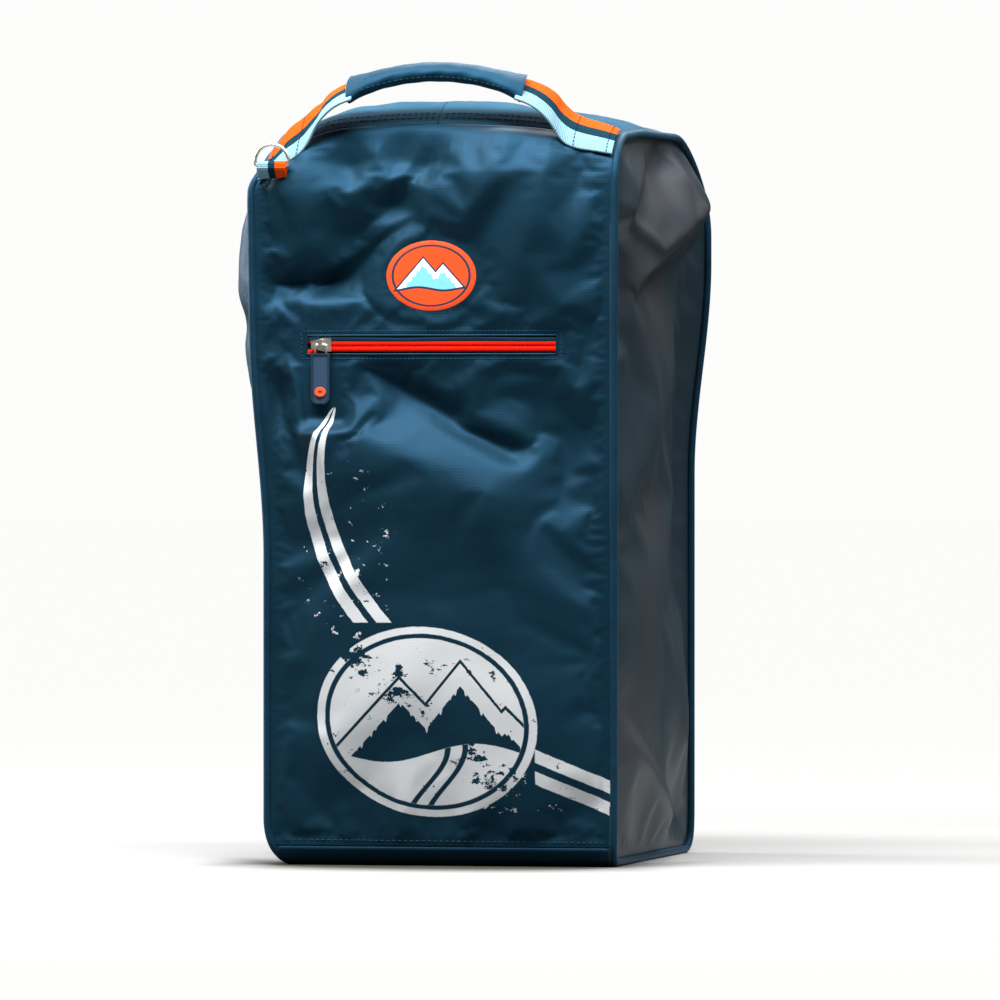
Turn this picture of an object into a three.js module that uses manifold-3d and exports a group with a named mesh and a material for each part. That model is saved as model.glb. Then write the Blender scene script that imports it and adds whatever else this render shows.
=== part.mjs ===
// Ski boot bag: a tall soft rucksack for a pair of boots and a helmet.
// Millimetres, +Z up. The origin is the middle of the flat base, the front faces -Y, and +X is the
// right-hand side as seen from the front.
import * as THREE from 'three';
import { mergeVertices } from 'three/addons/utils/BufferGeometryUtils.js';
import Module from 'manifold-3d';

const wasm = await Module();
wasm.setup();

// Driving dimensions
const GAP = 0.3; // between pieces that touch
const HALF_WIDTH = 132; // of the front-top-back wrap, up to the side panels
const DEPTH = 300;
const HEIGHT = 545; // top of the bag at its side seams
const WALL = 3; // coated fabric with its foam backing
const CORNER = { base: 14, frontTop: 40, rearTop: 75 }; // radii of the side outline
const SIDE_BULGE = 10;
const PIPING_RADIUS = 2.8;

const SLOT = { left: -96, right: 94, z: 386, height: 14 }; // zipped slot of the front pocket
const POCKET = { left: -100, right: 100, bottom: 225, top: 396, depth: 9, wall: 1.5 };
const SLIDER = { length: 15, height: 10, plate: 2, crown: 3, window: 2.7, lift: 0.4 };
const POCKET_SLIDER_X = -84;
const PULL = { width: 14, corner: 5, pocket: 36, door: 20, thickness: 3, wire: 1.6, loop: 8, loopHalf: 5 };
const BUTTON = { radius: 4.2, thickness: 0.8, fromEnd: 9 }; // on the pocket pull's tab
const BADGE = { x: -1, z: 437, halfWidth: 34, halfHeight: 26, thickness: 0.8 };

const WEBBING = { width: 38, thickness: 1.8, slope: THREE.MathUtils.degToRad(25) };
const GRIP = { half: 64, ends: 33, middle: 46, wide: 26, high: 14 };
const RING = { x: -121, y: -154.2, z: 519, half: 14, wire: 3 };

const DOOR = { half: 110, bottom: 47, top: 461, radius: 24 };
const COIL = 3.5; // width of each half of the back zip
const DOOR_SLIDER_X = 10;
const PAD = { inner: 10, outer: 84, bottom: 104, top: 396, thickness: 9 };
const STRAP = { width: 54, thickness: 9, webbing: 25, webbingThickness: 1.6 };
const YOKE = { half: 76, bottom: 400, top: 428, thickness: 2.5 }; // band that the shoulder straps hang from
const BUCKLE = { x: 77.5, y: 21, z: 175.5, halfWidth: 16, halfHeight: 10, thickness: 5 };
const ANCHOR = { x: 92, z: 66, halfWidth: 15, bottom: -12, shoulder: 4, tip: 14, thickness: 2.2 };
// Runs of the right shoulder strap as [x, distance out from the door, z]
const STRAP_RUNS = {
  pad: [[42, 8, 420], [44, 12, 404], [50, 30, 355], [60, 38, 290], [69, 33, 230], [76, 22, 190]],
  webbing: [[79, 19, 162], [84, 18.5, 142], [92, 15, 112], [97, 7.5, 84], [98, 3.8, 64]],
  tail: [[79, 25, 162], [80, 25.5, 140], [81, 25, 100], [82, 23, 70]],
};
// Runs of the handle's right webbing as [x, rise]: sewn to the top, then free up to the grip
const HANDLE_RUNS = {
  sewn: [[131, 0], [116, 0], [102, 0.2], [97, 2.2], [94.6, 7]],
  riser: [[92.8, 13], [89, 19], [82, 25], [73, 29.5], [GRIP.half + 1, GRIP.ends]],
};

const front = -DEPTH / 2;
const back = DEPTH / 2;
const sideFace = HALF_WIDTH + GAP; // inner face of a side panel at its rim

const colours = {
  weave: { color: 0x12364f, roughness: 0.6, metalness: 0 },
  tarpaulin: { color: 0x4c565c, roughness: 0.35, metalness: 0 },
  piping: { color: 0x16405c, roughness: 0.55, metalness: 0 },
  webbing: { color: 0x9ccbd8, roughness: 0.8, metalness: 0 },
  strap: { color: 0x101f2c, roughness: 0.8, metalness: 0 },
  mesh: { color: 0x0d1a26, roughness: 0.9, metalness: 0 },
  coil: { color: 0xe01b10, roughness: 0.4, metalness: 0 },
  darkCoil: { color: 0x0e2230, roughness: 0.45, metalness: 0 },
  nickel: { color: 0xb9b4a8, roughness: 0.25, metalness: 1 },
  rubber: { color: 0x1f3d57, roughness: 0.6, metalness: 0 },
  badge: { color: 0xf2562b, roughness: 0.5, metalness: 0 },
  board: { color: 0x22272b, roughness: 0.7, metalness: 0 },
  buckle: { color: 0x15181b, roughness: 0.5, metalness: 0 },
};

const bag = new THREE.Group();

function add(name, geometry, look, parent = bag) {
  const mesh = new THREE.Mesh(geometry, new THREE.MeshStandardMaterial(colours[look]));
  mesh.name = name;
  parent.add(mesh);
  return mesh;
}

// ---- Geometry builders -------------------------------------------------------------------------

function signedVolume(positions, indices) {
  const a = new THREE.Vector3();
  const b = new THREE.Vector3();
  const c = new THREE.Vector3();
  let total = 0;
  for (let i = 0; i < indices.length; i += 3) {
    a.fromArray(positions, 3 * indices[i]);
    b.fromArray(positions, 3 * indices[i + 1]);
    c.fromArray(positions, 3 * indices[i + 2]);
    total += a.dot(b.cross(c));
  }
  return total;
}

function geometryFrom(positions, indices) {
  const geometry = new THREE.BufferGeometry();
  geometry.setAttribute('position', new THREE.Float32BufferAttribute(positions, 3));
  geometry.setIndex(signedVolume(positions, indices) > 0 ? indices : indices.reverse());
  geometry.computeVertexNormals();
  return geometry;
}

// Joins rings of points, all of one even length. Point j of a ring lies across from point n-1-j.
function loft(rings, closed = false) {
  const n = rings[0].length;
  const indices = [];
  const quad = (a, b, c, d) => indices.push(a, b, c, a, c, d);
  const spans = closed ? rings.length : rings.length - 1;
  for (let i = 0; i < spans; i += 1) {
    const here = i * n;
    const next = ((i + 1) % rings.length) * n;
    for (let j = 0; j < n; j += 1) {
      const k = (j + 1) % n;
      quad(here + j, here + k, next + k, next + j);
    }
  }
  if (!closed) {
    const last = (rings.length - 1) * n;
    for (let j = 0; j < n / 2 - 1; j += 1) {
      quad(j, n - 1 - j, n - 2 - j, j + 1);
      quad(last + j, last + j + 1, last + n - 2 - j, last + n - 1 - j);
    }
  }
  return geometryFrom(rings.flat().flatMap((p) => p.toArray()), indices);
}

// Carries a flat section along a row of centres. across(t) is the direction of the section's width.
function sweep(centres, across, section, closed = false) {
  const count = centres.length;
  const at = (i) => centres[closed ? (i + count) % count : THREE.MathUtils.clamp(i, 0, count - 1)];
  const rings = centres.map((centre, i) => {
    const t = i / (count - 1);
    const along = at(i + 1).clone().sub(at(i - 1)).normalize();
    const up = new THREE.Vector3().crossVectors(across(t), along).normalize();
    const side = new THREE.Vector3().crossVectors(along, up);
    return section.map(([a, b]) => centre.clone().addScaledVector(side, a).addScaledVector(up, b));
  });
  return loft(rings, closed);
}

function flatSection(width, thickness) {
  const w = width / 2;
  const t = thickness / 2;
  return [[-w, -t], [w, -t], [w, t], [-w, t]];
}

function roundSection(width, height, sides) {
  return Array.from({ length: sides }, (_, i) => {
    const angle = (2 * Math.PI * (i + 0.5)) / sides;
    return [(width / 2) * Math.cos(angle), (height / 2) * Math.sin(angle)];
  });
}

function smooth(points, steps) {
  return new THREE.CatmullRomCurve3(points.map((p) => new THREE.Vector3(...p))).getPoints(steps);
}

// A plate drawn in the XZ plane, from y = rear towards -Y by its thickness.
function plate(shape, thickness, rear) {
  const geometry = new THREE.ExtrudeGeometry(shape, {
    depth: thickness,
    bevelEnabled: false,
    curveSegments: 6,
  });
  return geometry.rotateX(Math.PI / 2).translate(0, rear, 0);
}

// A profile drawn in the YZ plane, extruded from x = left to x = right.
function alongX(shape, left, right) {
  const geometry = new THREE.ExtrudeGeometry(shape, {
    depth: right - left,
    bevelEnabled: false,
    curveSegments: 8,
  });
  const turn = new THREE.Matrix4().makeBasis(
    new THREE.Vector3(0, 1, 0),
    new THREE.Vector3(0, 0, 1),
    new THREE.Vector3(1, 0, 0),
  );
  return geometry.applyMatrix4(turn).translate(left, 0, 0);
}

function rectangle(left, bottom, right, top) {
  const shape = new THREE.Shape();
  shape.moveTo(left, bottom);
  shape.lineTo(right, bottom);
  shape.lineTo(right, top);
  shape.lineTo(left, top);
  return shape;
}

function box(low, high) {
  const size = high.map((value, i) => value - low[i]);
  const geometry = new THREE.BoxGeometry(...size);
  return geometry.translate(...low.map((value, i) => value + size[i] / 2));
}

function solidOf(geometry) {
  const bare = new THREE.BufferGeometry();
  bare.setAttribute('position', geometry.getAttribute('position'));
  bare.setIndex(geometry.getIndex());
  const merged = mergeVertices(bare, 1e-4);
  const mesh = new wasm.Mesh({
    numProp: 3,
    vertProperties: new Float32Array(merged.getAttribute('position').array),
    triVerts: new Uint32Array(merged.getIndex().array),
  });
  return new wasm.Manifold(mesh);
}

function geometryOf(solid) {
  const mesh = solid.getMesh();
  return geometryFrom(Array.from(mesh.vertProperties), Array.from(mesh.triVerts));
}

// ---- The wrap: front, top, back and base --------------------------------------------------------

// Each profile runs along the side outline, drawn in from it by inset.
function frontProfile(inset) {
  const r = CORNER.frontTop;
  const path = new THREE.Path();
  path.moveTo(front + inset, CORNER.base + GAP);
  path.lineTo(front + inset, HEIGHT - r);
  path.absarc(front + r, HEIGHT - r, r - inset, Math.PI, Math.PI / 2, true);
  return path.getPoints(8);
}

function yokeProfile(inset) {
  const r = CORNER.rearTop;
  const path = new THREE.Path();
  path.absarc(back - r, HEIGHT - r, r - inset, Math.PI / 2 - (2 * GAP) / r, 0, true);
  return path.getPoints(8);
}

function baseProfile(inset) {
  const r = CORNER.base;
  const path = new THREE.Path();
  path.absarc(front + r, r, r - inset, Math.PI, 1.5 * Math.PI, false);
  path.absarc(back - r, r, r - inset, 1.5 * Math.PI, 2 * Math.PI, false);
  return path.getPoints(4);
}

function wallOf(profile, left, right) {
  const points = [...profile(0), ...profile(WALL).reverse()];
  return alongX(new THREE.Shape(points), left, right);
}

const slotCut = box(
  [SLOT.left, front - 1, SLOT.z - SLOT.height / 2],
  [SLOT.right, front + WALL + 1, SLOT.z + SLOT.height / 2],
);
const frontWall = solidOf(wallOf(frontProfile, -HALF_WIDTH, HALF_WIDTH));
add('front_panel', geometryOf(frontWall.subtract(solidOf(slotCut))), 'weave');
const topEdges = [front + CORNER.frontTop + GAP, back - CORNER.rearTop];
for (const [side, from, to] of [['left', -HALF_WIDTH, -GAP / 2], ['right', GAP / 2, HALF_WIDTH]]) {
  add(`top_panel_${side}`, box([from, topEdges[0], HEIGHT - WALL], [to, topEdges[1], HEIGHT]), 'weave');
}
add('back_yoke', wallOf(yokeProfile, -HALF_WIDTH, HALF_WIDTH), 'weave');
add('base_panel', wallOf(baseProfile, -HALF_WIDTH, HALF_WIDTH), 'weave');
add('base_board', box(
  [10 - HALF_WIDTH, front + 25, WALL + GAP],
  [HALF_WIDTH - 10, back - 25, WALL + GAP + 2.5],
), 'board');

// An arch outline for the door and its zip: two uprights with rounded upper corners.
function archPoints(half, bottom, top, radius) {
  const path = new THREE.Path();
  path.moveTo(-half, bottom);
  path.lineTo(-half, top - radius);
  path.absarc(radius - half, top - radius, radius, Math.PI, Math.PI / 2, true);
  path.absarc(half - radius, top - radius, radius, Math.PI / 2, 0, true);
  path.lineTo(half, bottom);
  return path.getPoints(5);
}

function archStrip(half, bottom, top, radius, width) {
  const outer = archPoints(half, bottom, top, radius);
  const inner = archPoints(half - width, bottom, top - width, radius - width);
  return new THREE.Shape([...outer, ...inner.reverse()]);
}

const coilReach = 2 * COIL + 3 * GAP; // from the door's edge to the opening's edge
const opening = {
  half: DOOR.half + coilReach,
  bottom: DOOR.bottom - 3,
  top: DOOR.top + coilReach,
  radius: DOOR.radius + coilReach,
};
const surroundTop = HEIGHT - CORNER.rearTop - GAP;
const surround = rectangle(-HALF_WIDTH, CORNER.base + GAP, HALF_WIDTH, surroundTop);
surround.holes.push(new THREE.Path(archPoints(opening.half, opening.bottom, opening.top, opening.radius)));
add('back_surround', plate(surround, WALL, back), 'weave');

// ---- Side panels and piping ---------------------------------------------------------------------

// Front and rear limits of the side outline at height z.
function outlineAt(z) {
  const reach = (radius, past) => radius - Math.sqrt(Math.max(0, radius ** 2 - past ** 2));
  const low = reach(CORNER.base, Math.max(0, CORNER.base - z));
  const highFront = reach(CORNER.frontTop, Math.max(0, z - HEIGHT + CORNER.frontTop));
  const highRear = reach(CORNER.rearTop, Math.max(0, z - HEIGHT + CORNER.rearTop));
  return [front + Math.max(low, highFront), back - Math.max(low, highRear)];
}

function sidePanel(sign) {
  const rim = 7;
  const inset = 0.6;
  const levels = [inset, rim, 30, 110, 200, 290, 380, 450, 495, 520, HEIGHT - rim, HEIGHT - inset];
  const columns = 8;
  const rings = levels.map((z) => {
    const [y0, y1] = outlineAt(z);
    const low = y0 + inset;
    const high = y1 - inset;
    const rise = Math.sin(Math.PI * THREE.MathUtils.clamp((z - rim) / (HEIGHT - 2 * rim), 0, 1));
    const outer = Array.from({ length: columns + 1 }, (_, j) => {
      const share = THREE.MathUtils.clamp((j - 1) / (columns - 2), 0, 1);
      const y = j === 0 ? low : j === columns ? high : low + rim + share * (high - low - 2 * rim);
      const bulge = SIDE_BULGE * Math.sqrt(rise) * Math.sin(Math.PI * share);
      return [y, bulge];
    });
    const point = ([y, bulge], x) => new THREE.Vector3(sign * (x + bulge), y, z);
    return [
      ...outer.map((p) => point(p, sideFace + WALL)),
      ...outer.map((p) => point(p, sideFace)).reverse(),
    ];
  });
  return loft(rings);
}

function pipingLoop(sign) {
  const inset = PIPING_RADIUS + 0.4;
  const path = new THREE.Path();
  const corner = (y, z, r, start) => path.absarc(y, z, r - inset, start, start + Math.PI / 2, false);
  corner(back - CORNER.base, CORNER.base, CORNER.base, 1.5 * Math.PI);
  corner(back - CORNER.rearTop, HEIGHT - CORNER.rearTop, CORNER.rearTop, 0);
  corner(front + CORNER.frontTop, HEIGHT - CORNER.frontTop, CORNER.frontTop, 0.5 * Math.PI);
  corner(front + CORNER.base, CORNER.base, CORNER.base, Math.PI);
  path.closePath();
  const steps = 72;
  const x = sign * (sideFace + WALL + GAP + PIPING_RADIUS);
  const centres = path.getSpacedPoints(steps).slice(0, steps);
  const loop = centres.map((p) => new THREE.Vector3(x, p.x, p.y));
  const section = roundSection(2 * PIPING_RADIUS, 2 * PIPING_RADIUS, 6);
  return sweep(loop, () => new THREE.Vector3(1, 0, 0), section, true);
}

for (const [side, sign] of [['left', -1], ['right', 1]]) {
  add(`side_panel_${side}`, sidePanel(sign), side === 'right' ? 'tarpaulin' : 'weave');
  add(`piping_${side}`, pipingLoop(sign), 'piping');
}

// ---- Zips, sliders and pulls --------------------------------------------------------------------

// Half of a coil zip: a thin tape with the coil along its inner edge.
function zipHalf(sign) {
  const y = front + 1.6;
  const edge = SLOT.z + (sign * GAP) / 2;
  const outer = SLOT.z + sign * (SLOT.height / 2 - GAP);
  const coil = edge + sign * 2.6;
  const shape = new THREE.Shape();
  shape.moveTo(y - 1.8, edge);
  shape.lineTo(y - 1.8, coil);
  shape.lineTo(y - 0.5, coil);
  shape.lineTo(y - 0.5, outer);
  shape.lineTo(y + 0.5, outer);
  shape.lineTo(y + 0.5, edge);
  return alongX(shape, SLOT.left + GAP, SLOT.right - GAP);
}

// Slider on a zip that runs along X. Its plate starts at y = 0 and it faces -Y; the crown stands over
// the pull's top bar, whose middle is at pullDepth.
const pullDepth = -(SLIDER.plate + SLIDER.window / 2);
function slider() {
  const l = SLIDER.length / 2;
  const h = SLIDER.height / 2;
  const outline = new THREE.Shape();
  outline.moveTo(-l, -h * 0.55);
  outline.lineTo(l * 0.3, -h);
  outline.lineTo(l, -h);
  outline.lineTo(l, h);
  outline.lineTo(l * 0.3, h);
  outline.lineTo(-l, h * 0.55);
  const crownTop = -(SLIDER.plate + SLIDER.window + 1.2);
  const crown = rectangle(crownTop, -3.6, 0.2 - SLIDER.plate, 3.6);
  crown.holes.push(rectangle(crownTop + 1.2, -2.1, -SLIDER.plate, 2.1));
  const arch = alongX(crown, -SLIDER.crown / 2, SLIDER.crown / 2);
  return geometryOf(solidOf(plate(outline, SLIDER.plate, 0)).add(solidOf(arch)));
}

// Wire loop of a pull, hanging from its top bar at the origin.
function pullWire() {
  const w = PULL.wire / 2;
  const half = PULL.loopHalf;
  const outer = rectangle(-half, -PULL.loop - w, half, w);
  outer.holes.push(rectangle(PULL.wire - half, w - PULL.loop, half - PULL.wire, -w));
  return plate(outer, PULL.wire, w);
}

// Moulded tab of a pull, just under the wire loop's lower bar at the origin.
function pullTab(length) {
  const half = PULL.width / 2;
  const { corner } = PULL;
  const top = -PULL.wire / 2 - GAP;
  const shape = new THREE.Shape();
  shape.moveTo(-half, top);
  shape.lineTo(-half, corner - length);
  shape.absarc(corner - half, corner - length, corner, Math.PI, 1.5 * Math.PI, false);
  shape.absarc(half - corner, corner - length, corner, 1.5 * Math.PI, 2 * Math.PI, false);
  shape.lineTo(half, top);
  return plate(shape, PULL.thickness, PULL.thickness / 2);
}

// A slider with its pull, in a group of its own so that it can face front or back.
function zipSlider(name, x, y, z, facing, tabLength) {
  const group = new THREE.Group();
  group.position.set(x, y, z);
  group.rotation.z = facing;
  bag.add(group);
  add(`${name}_slider`, slider(), 'nickel', group);
  add(`${name}_pull_wire`, pullWire(), 'nickel', group).position.set(0, pullDepth, 0);
  add(`${name}_pull_tab`, pullTab(tabLength), 'rubber', group).position.set(0, pullDepth, -PULL.loop);
  return group;
}

add('pocket_zip_upper', zipHalf(1), 'coil');
add('pocket_zip_lower', zipHalf(-1), 'coil');
const pocketSlider = zipSlider('pocket', POCKET_SLIDER_X, front - SLIDER.lift - GAP, SLOT.z, 0, PULL.pocket);
const button = new THREE.CylinderGeometry(BUTTON.radius, BUTTON.radius, BUTTON.thickness, 20);
const buttonY = pullDepth - PULL.thickness / 2 - GAP - BUTTON.thickness / 2;
add('pocket_pull_badge', button, 'badge', pocketSlider)
  .position.set(0, buttonY, BUTTON.fromEnd - PULL.loop - PULL.pocket);

const pocketOuter = box(
  [POCKET.left, front + WALL + GAP, POCKET.bottom],
  [POCKET.right, front + WALL + GAP + POCKET.depth, POCKET.top],
);
const pocketInner = box(
  [POCKET.left + POCKET.wall, front, POCKET.bottom + POCKET.wall],
  [POCKET.right - POCKET.wall, front + WALL + GAP + POCKET.depth - POCKET.wall, POCKET.top - POCKET.wall],
);
add('pocket_bag', geometryOf(solidOf(pocketOuter).subtract(solidOf(pocketInner))), 'strap');

const badge = new THREE.Shape();
badge.absellipse(0, 0, BADGE.halfWidth, BADGE.halfHeight, 0, 2 * Math.PI, false, 0);
add('front_badge', plate(badge, BADGE.thickness, 0), 'badge').position.set(BADGE.x, front - GAP, BADGE.z);

// ---- Carrying handle and its ring ---------------------------------------------------------------

// The handle stands on the rounded front edge of the top, where the surface slopes by WEBBING.slope.
const handleFoot = new THREE.Vector2(
  front + CORNER.frontTop - (CORNER.frontTop + GAP + WEBBING.thickness / 2) * Math.sin(WEBBING.slope),
  HEIGHT - CORNER.frontTop + (CORNER.frontTop + GAP + WEBBING.thickness / 2) * Math.cos(WEBBING.slope),
);
const handleLean = 0.2; // how far the loop leans forward for each unit that it rises

function handlePoint(x, rise) {
  return [x, handleFoot.x - handleLean * rise, handleFoot.y + rise];
}

function acrossHandle(slope) {
  return () => new THREE.Vector3(0, Math.cos(slope), Math.sin(slope));
}

for (const [side, sign] of [['left', -1], ['right', 1]]) {
  const section = flatSection(WEBBING.width, WEBBING.thickness);
  const centres = (points, steps) => smooth(points.map(([x, rise]) => handlePoint(sign * x, rise)), steps);
  const across = acrossHandle(WEBBING.slope);
  add(`handle_end_${side}`, sweep(centres(HANDLE_RUNS.sewn, 10), across, section), 'webbing');
  add(`handle_riser_${side}`, sweep(centres(HANDLE_RUNS.riser, 8), across, section), 'webbing');
}

const gripSteps = 12;
const gripCentres = Array.from({ length: gripSteps + 1 }, (_, i) => {
  const share = (2 * i) / gripSteps - 1;
  const rise = GRIP.middle - (GRIP.middle - GRIP.ends) * share ** 2;
  return new THREE.Vector3(...handlePoint(share * GRIP.half, rise));
});
const gripSection = roundSection(GRIP.wide, GRIP.high, 10);
add('handle_grip', sweep(gripCentres, acrossHandle(WEBBING.slope / 2), gripSection), 'weave');

const ringShape = new THREE.Shape();
const ringWire = RING.wire / 2;
ringShape.moveTo(-RING.half, -ringWire);
ringShape.lineTo(RING.half, -ringWire);
ringShape.absarc(0, 3, RING.half, 0, Math.PI, false);
const ringHole = new THREE.Path();
ringHole.moveTo(RING.wire - RING.half, ringWire);
ringHole.lineTo(RING.half - RING.wire, ringWire);
ringHole.absarc(0, 3, RING.half - RING.wire, 0, Math.PI, false);
ringShape.holes.push(ringHole);
add('ring', plate(ringShape, RING.wire, ringWire), 'nickel').position.set(RING.x, RING.y, RING.z);

// Webbing tab folded round the ring's straight bar and sewn to the front below it.
const tab = new THREE.Shape();
const tabRadius = 3.6;
tab.moveTo(RING.y + tabRadius, RING.z - 11);
tab.lineTo(RING.y + tabRadius, RING.z);
tab.absarc(RING.y, RING.z, tabRadius, 0, Math.PI, false);
tab.lineTo(RING.y + tabRadius - 3, RING.z - 11);
const tabEye = new THREE.Path();
tabEye.absarc(RING.y, RING.z, 2.4, 0, 2 * Math.PI, true);
tab.holes.push(tabEye);
add('ring_tab', alongX(tab, RING.x - 10, RING.x + 10), 'webbing');

// ---- Back door with its pads and shoulder straps ------------------------------------------------

const doorArch = (reach) => [DOOR.half + reach, DOOR.bottom, DOOR.top + reach, DOOR.radius + reach];
add('back_door_panel', plate(new THREE.Shape(archPoints(...doorArch(0))), WALL, back), 'weave');
const coils = [['door_zip_inner', GAP + COIL], ['door_zip_outer', 2 * (GAP + COIL)]];
for (const [name, reach] of coils) {
  add(name, plate(archStrip(...doorArch(reach), COIL), 2.6, back + 0.2), 'darkCoil');
}

const doorZipZ = DOOR.top + GAP * 1.5 + COIL;
for (const [side, sign] of [['left', -1], ['right', 1]]) {
  zipSlider(`door_${side}`, sign * DOOR_SLIDER_X, back + SLIDER.lift + GAP, doorZipZ, Math.PI, PULL.door);
}

const outside = back + GAP; // the door's outer face, where its fittings are sewn
const yokeEnds = [[-YOKE.half, outside, YOKE.bottom], [YOKE.half, outside + YOKE.thickness, YOKE.top]];
add('strap_yoke', box(...yokeEnds), 'weave');
for (const [side, sign] of [['left', -1], ['right', 1]]) {
  const ends = [sign * PAD.inner, sign * PAD.outer].sort((a, b) => a - b);
  add(`back_pad_${side}`, box(
    [ends[0], outside, PAD.bottom],
    [ends[1], outside + PAD.thickness, PAD.top],
  ), 'mesh');

  const acrossStrap = () => new THREE.Vector3(1, 0, 0);
  const run = (points, steps) => smooth(points.map(([x, y, z]) => [sign * x, outside + y, z]), steps);
  const foam = flatSection(STRAP.width, STRAP.thickness);
  add(`strap_pad_${side}`, sweep(run(STRAP_RUNS.pad, 14), acrossStrap, foam), 'strap');

  const webbing = flatSection(STRAP.webbing, STRAP.webbingThickness);
  add(`strap_webbing_${side}`, sweep(run(STRAP_RUNS.webbing, 8), acrossStrap, webbing), 'strap');
  add(`strap_tail_${side}`, sweep(run(STRAP_RUNS.tail, 6), acrossStrap, webbing), 'strap');

  const { halfWidth, halfHeight } = BUCKLE;
  const buckle = rectangle(-halfWidth, -halfHeight, halfWidth, halfHeight);
  buckle.holes.push(rectangle(-12.9, 4, 12.9, 7.5), rectangle(-12.9, -1, 12.9, 2));
  add(`strap_buckle_${side}`, plate(buckle, BUCKLE.thickness, BUCKLE.thickness / 2), 'buckle')
    .position.set(sign * BUCKLE.x, outside + BUCKLE.y, BUCKLE.z);

  const anchor = new THREE.Shape();
  anchor.moveTo(-ANCHOR.halfWidth, ANCHOR.bottom);
  anchor.lineTo(ANCHOR.halfWidth, ANCHOR.bottom);
  anchor.lineTo(ANCHOR.halfWidth, ANCHOR.shoulder);
  anchor.lineTo(0, ANCHOR.tip);
  anchor.lineTo(-ANCHOR.halfWidth, ANCHOR.shoulder);
  add(`strap_anchor_${side}`, plate(anchor, ANCHOR.thickness, ANCHOR.thickness), 'weave')
    .position.set(sign * ANCHOR.x, outside, ANCHOR.z);
}

export default bag;
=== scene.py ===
"""Looks of the ski boot bag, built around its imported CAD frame."""

import math
from contextlib import contextmanager
from functools import partialmethod

import bmesh
import bpy
import numpy as np
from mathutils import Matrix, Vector
from mathutils.bvhtree import BVHTree


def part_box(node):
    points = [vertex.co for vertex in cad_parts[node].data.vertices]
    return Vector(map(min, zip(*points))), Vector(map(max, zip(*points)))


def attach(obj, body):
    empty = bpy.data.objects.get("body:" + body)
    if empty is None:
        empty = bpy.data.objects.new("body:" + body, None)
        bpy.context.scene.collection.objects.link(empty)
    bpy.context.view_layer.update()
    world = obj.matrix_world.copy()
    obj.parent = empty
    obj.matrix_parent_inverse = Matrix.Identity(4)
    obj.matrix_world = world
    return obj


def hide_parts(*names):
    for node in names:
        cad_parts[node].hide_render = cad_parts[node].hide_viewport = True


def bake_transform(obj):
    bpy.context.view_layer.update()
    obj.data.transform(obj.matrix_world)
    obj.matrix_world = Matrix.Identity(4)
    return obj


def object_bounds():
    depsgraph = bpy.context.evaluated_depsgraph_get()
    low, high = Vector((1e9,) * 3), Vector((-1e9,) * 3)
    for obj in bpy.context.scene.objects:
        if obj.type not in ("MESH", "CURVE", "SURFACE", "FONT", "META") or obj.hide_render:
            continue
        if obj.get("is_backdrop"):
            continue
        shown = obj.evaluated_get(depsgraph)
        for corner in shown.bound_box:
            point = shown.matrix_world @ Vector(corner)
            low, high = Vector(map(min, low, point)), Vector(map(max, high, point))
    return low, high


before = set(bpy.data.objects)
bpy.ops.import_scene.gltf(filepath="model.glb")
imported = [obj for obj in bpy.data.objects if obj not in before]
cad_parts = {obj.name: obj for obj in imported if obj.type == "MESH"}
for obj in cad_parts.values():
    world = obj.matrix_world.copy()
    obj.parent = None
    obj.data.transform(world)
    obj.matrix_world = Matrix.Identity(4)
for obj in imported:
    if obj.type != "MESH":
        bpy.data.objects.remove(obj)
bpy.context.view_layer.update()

MM = 0.001
SIDES = (("left", -1), ("right", 1))


def box_mm(node):
    low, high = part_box(node)
    return low / MM, high / MM


# Driving dimensions of the shell, read from the frame, in millimetres
wrap_low, wrap_high = box_mm("base_panel")
HALF = wrap_high.x
FRONT = wrap_low.y
BACK = wrap_high.y
TOP = box_mm("top_panel_left")[1].z
R_FRONT_TOP = 40.0
R_REAR_TOP = 75.0
R_BASE = 14.0
zip_low, zip_high = box_mm("pocket_zip_lower")
ZIP_Z = zip_high.z
ZIP_LEFT, ZIP_RIGHT = zip_low.x, zip_high.x
TAB_X = sum(corner.x for corner in box_mm("pocket_pull_tab")) / 2
badge_low, badge_high = box_mm("front_badge")
BADGE_X, _, BADGE_Z = (round(c, 2) for c in (badge_low + badge_high) / 2)
BADGE_HALF_WIDTH, BADGE_HALF_HEIGHT = 34.0, 26.0  # its printed oval
DOOR_RADIUS = 24.0


# ---- Small tools --------------------------------------------------------------------------------

def smooth(low, high, value):
    t = np.clip((value - low) / (high - low), 0.0, 1.0)
    return t * t * (3 - 2 * t)


def new_object(name, points_mm, faces, material, attributes=None):
    """A mesh object from points in millimetres, with optional per-point float attributes."""
    mesh = bpy.data.meshes.new(name)
    mesh.from_pydata([tuple(float(c) * MM for c in p) for p in points_mm], [], [tuple(f) for f in faces])
    mesh.update()
    for key, values in (attributes or {}).items():
        mesh.attributes.new(key, "FLOAT", "POINT").data.foreach_set("value", np.array(values, np.float32))
    obj = bpy.data.objects.new(name, mesh)
    bpy.context.scene.collection.objects.link(obj)
    mesh.materials.append(material)
    smooth_faces(obj)
    return obj


def smooth_faces(obj):
    obj.data.polygons.foreach_set("use_smooth", [True] * len(obj.data.polygons))


def place(obj, body, replaces=()):
    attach(obj, body)
    if replaces:
        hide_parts(*replaces)
    return obj


def modifier(obj, kind, **settings):
    made = obj.modifiers.new(kind.lower(), kind)
    for key, value in settings.items():
        setattr(made, key, value)
    return made


def apply_all(obj):
    bpy.context.view_layer.objects.active = obj
    for made in list(obj.modifiers):
        bpy.ops.object.modifier_apply(modifier=made.name)


def bevel(obj, width_mm, angle, segments=2):
    modifier(obj, "BEVEL", width=width_mm * MM, segments=segments, limit_method="ANGLE",
             angle_limit=math.radians(angle))


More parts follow.
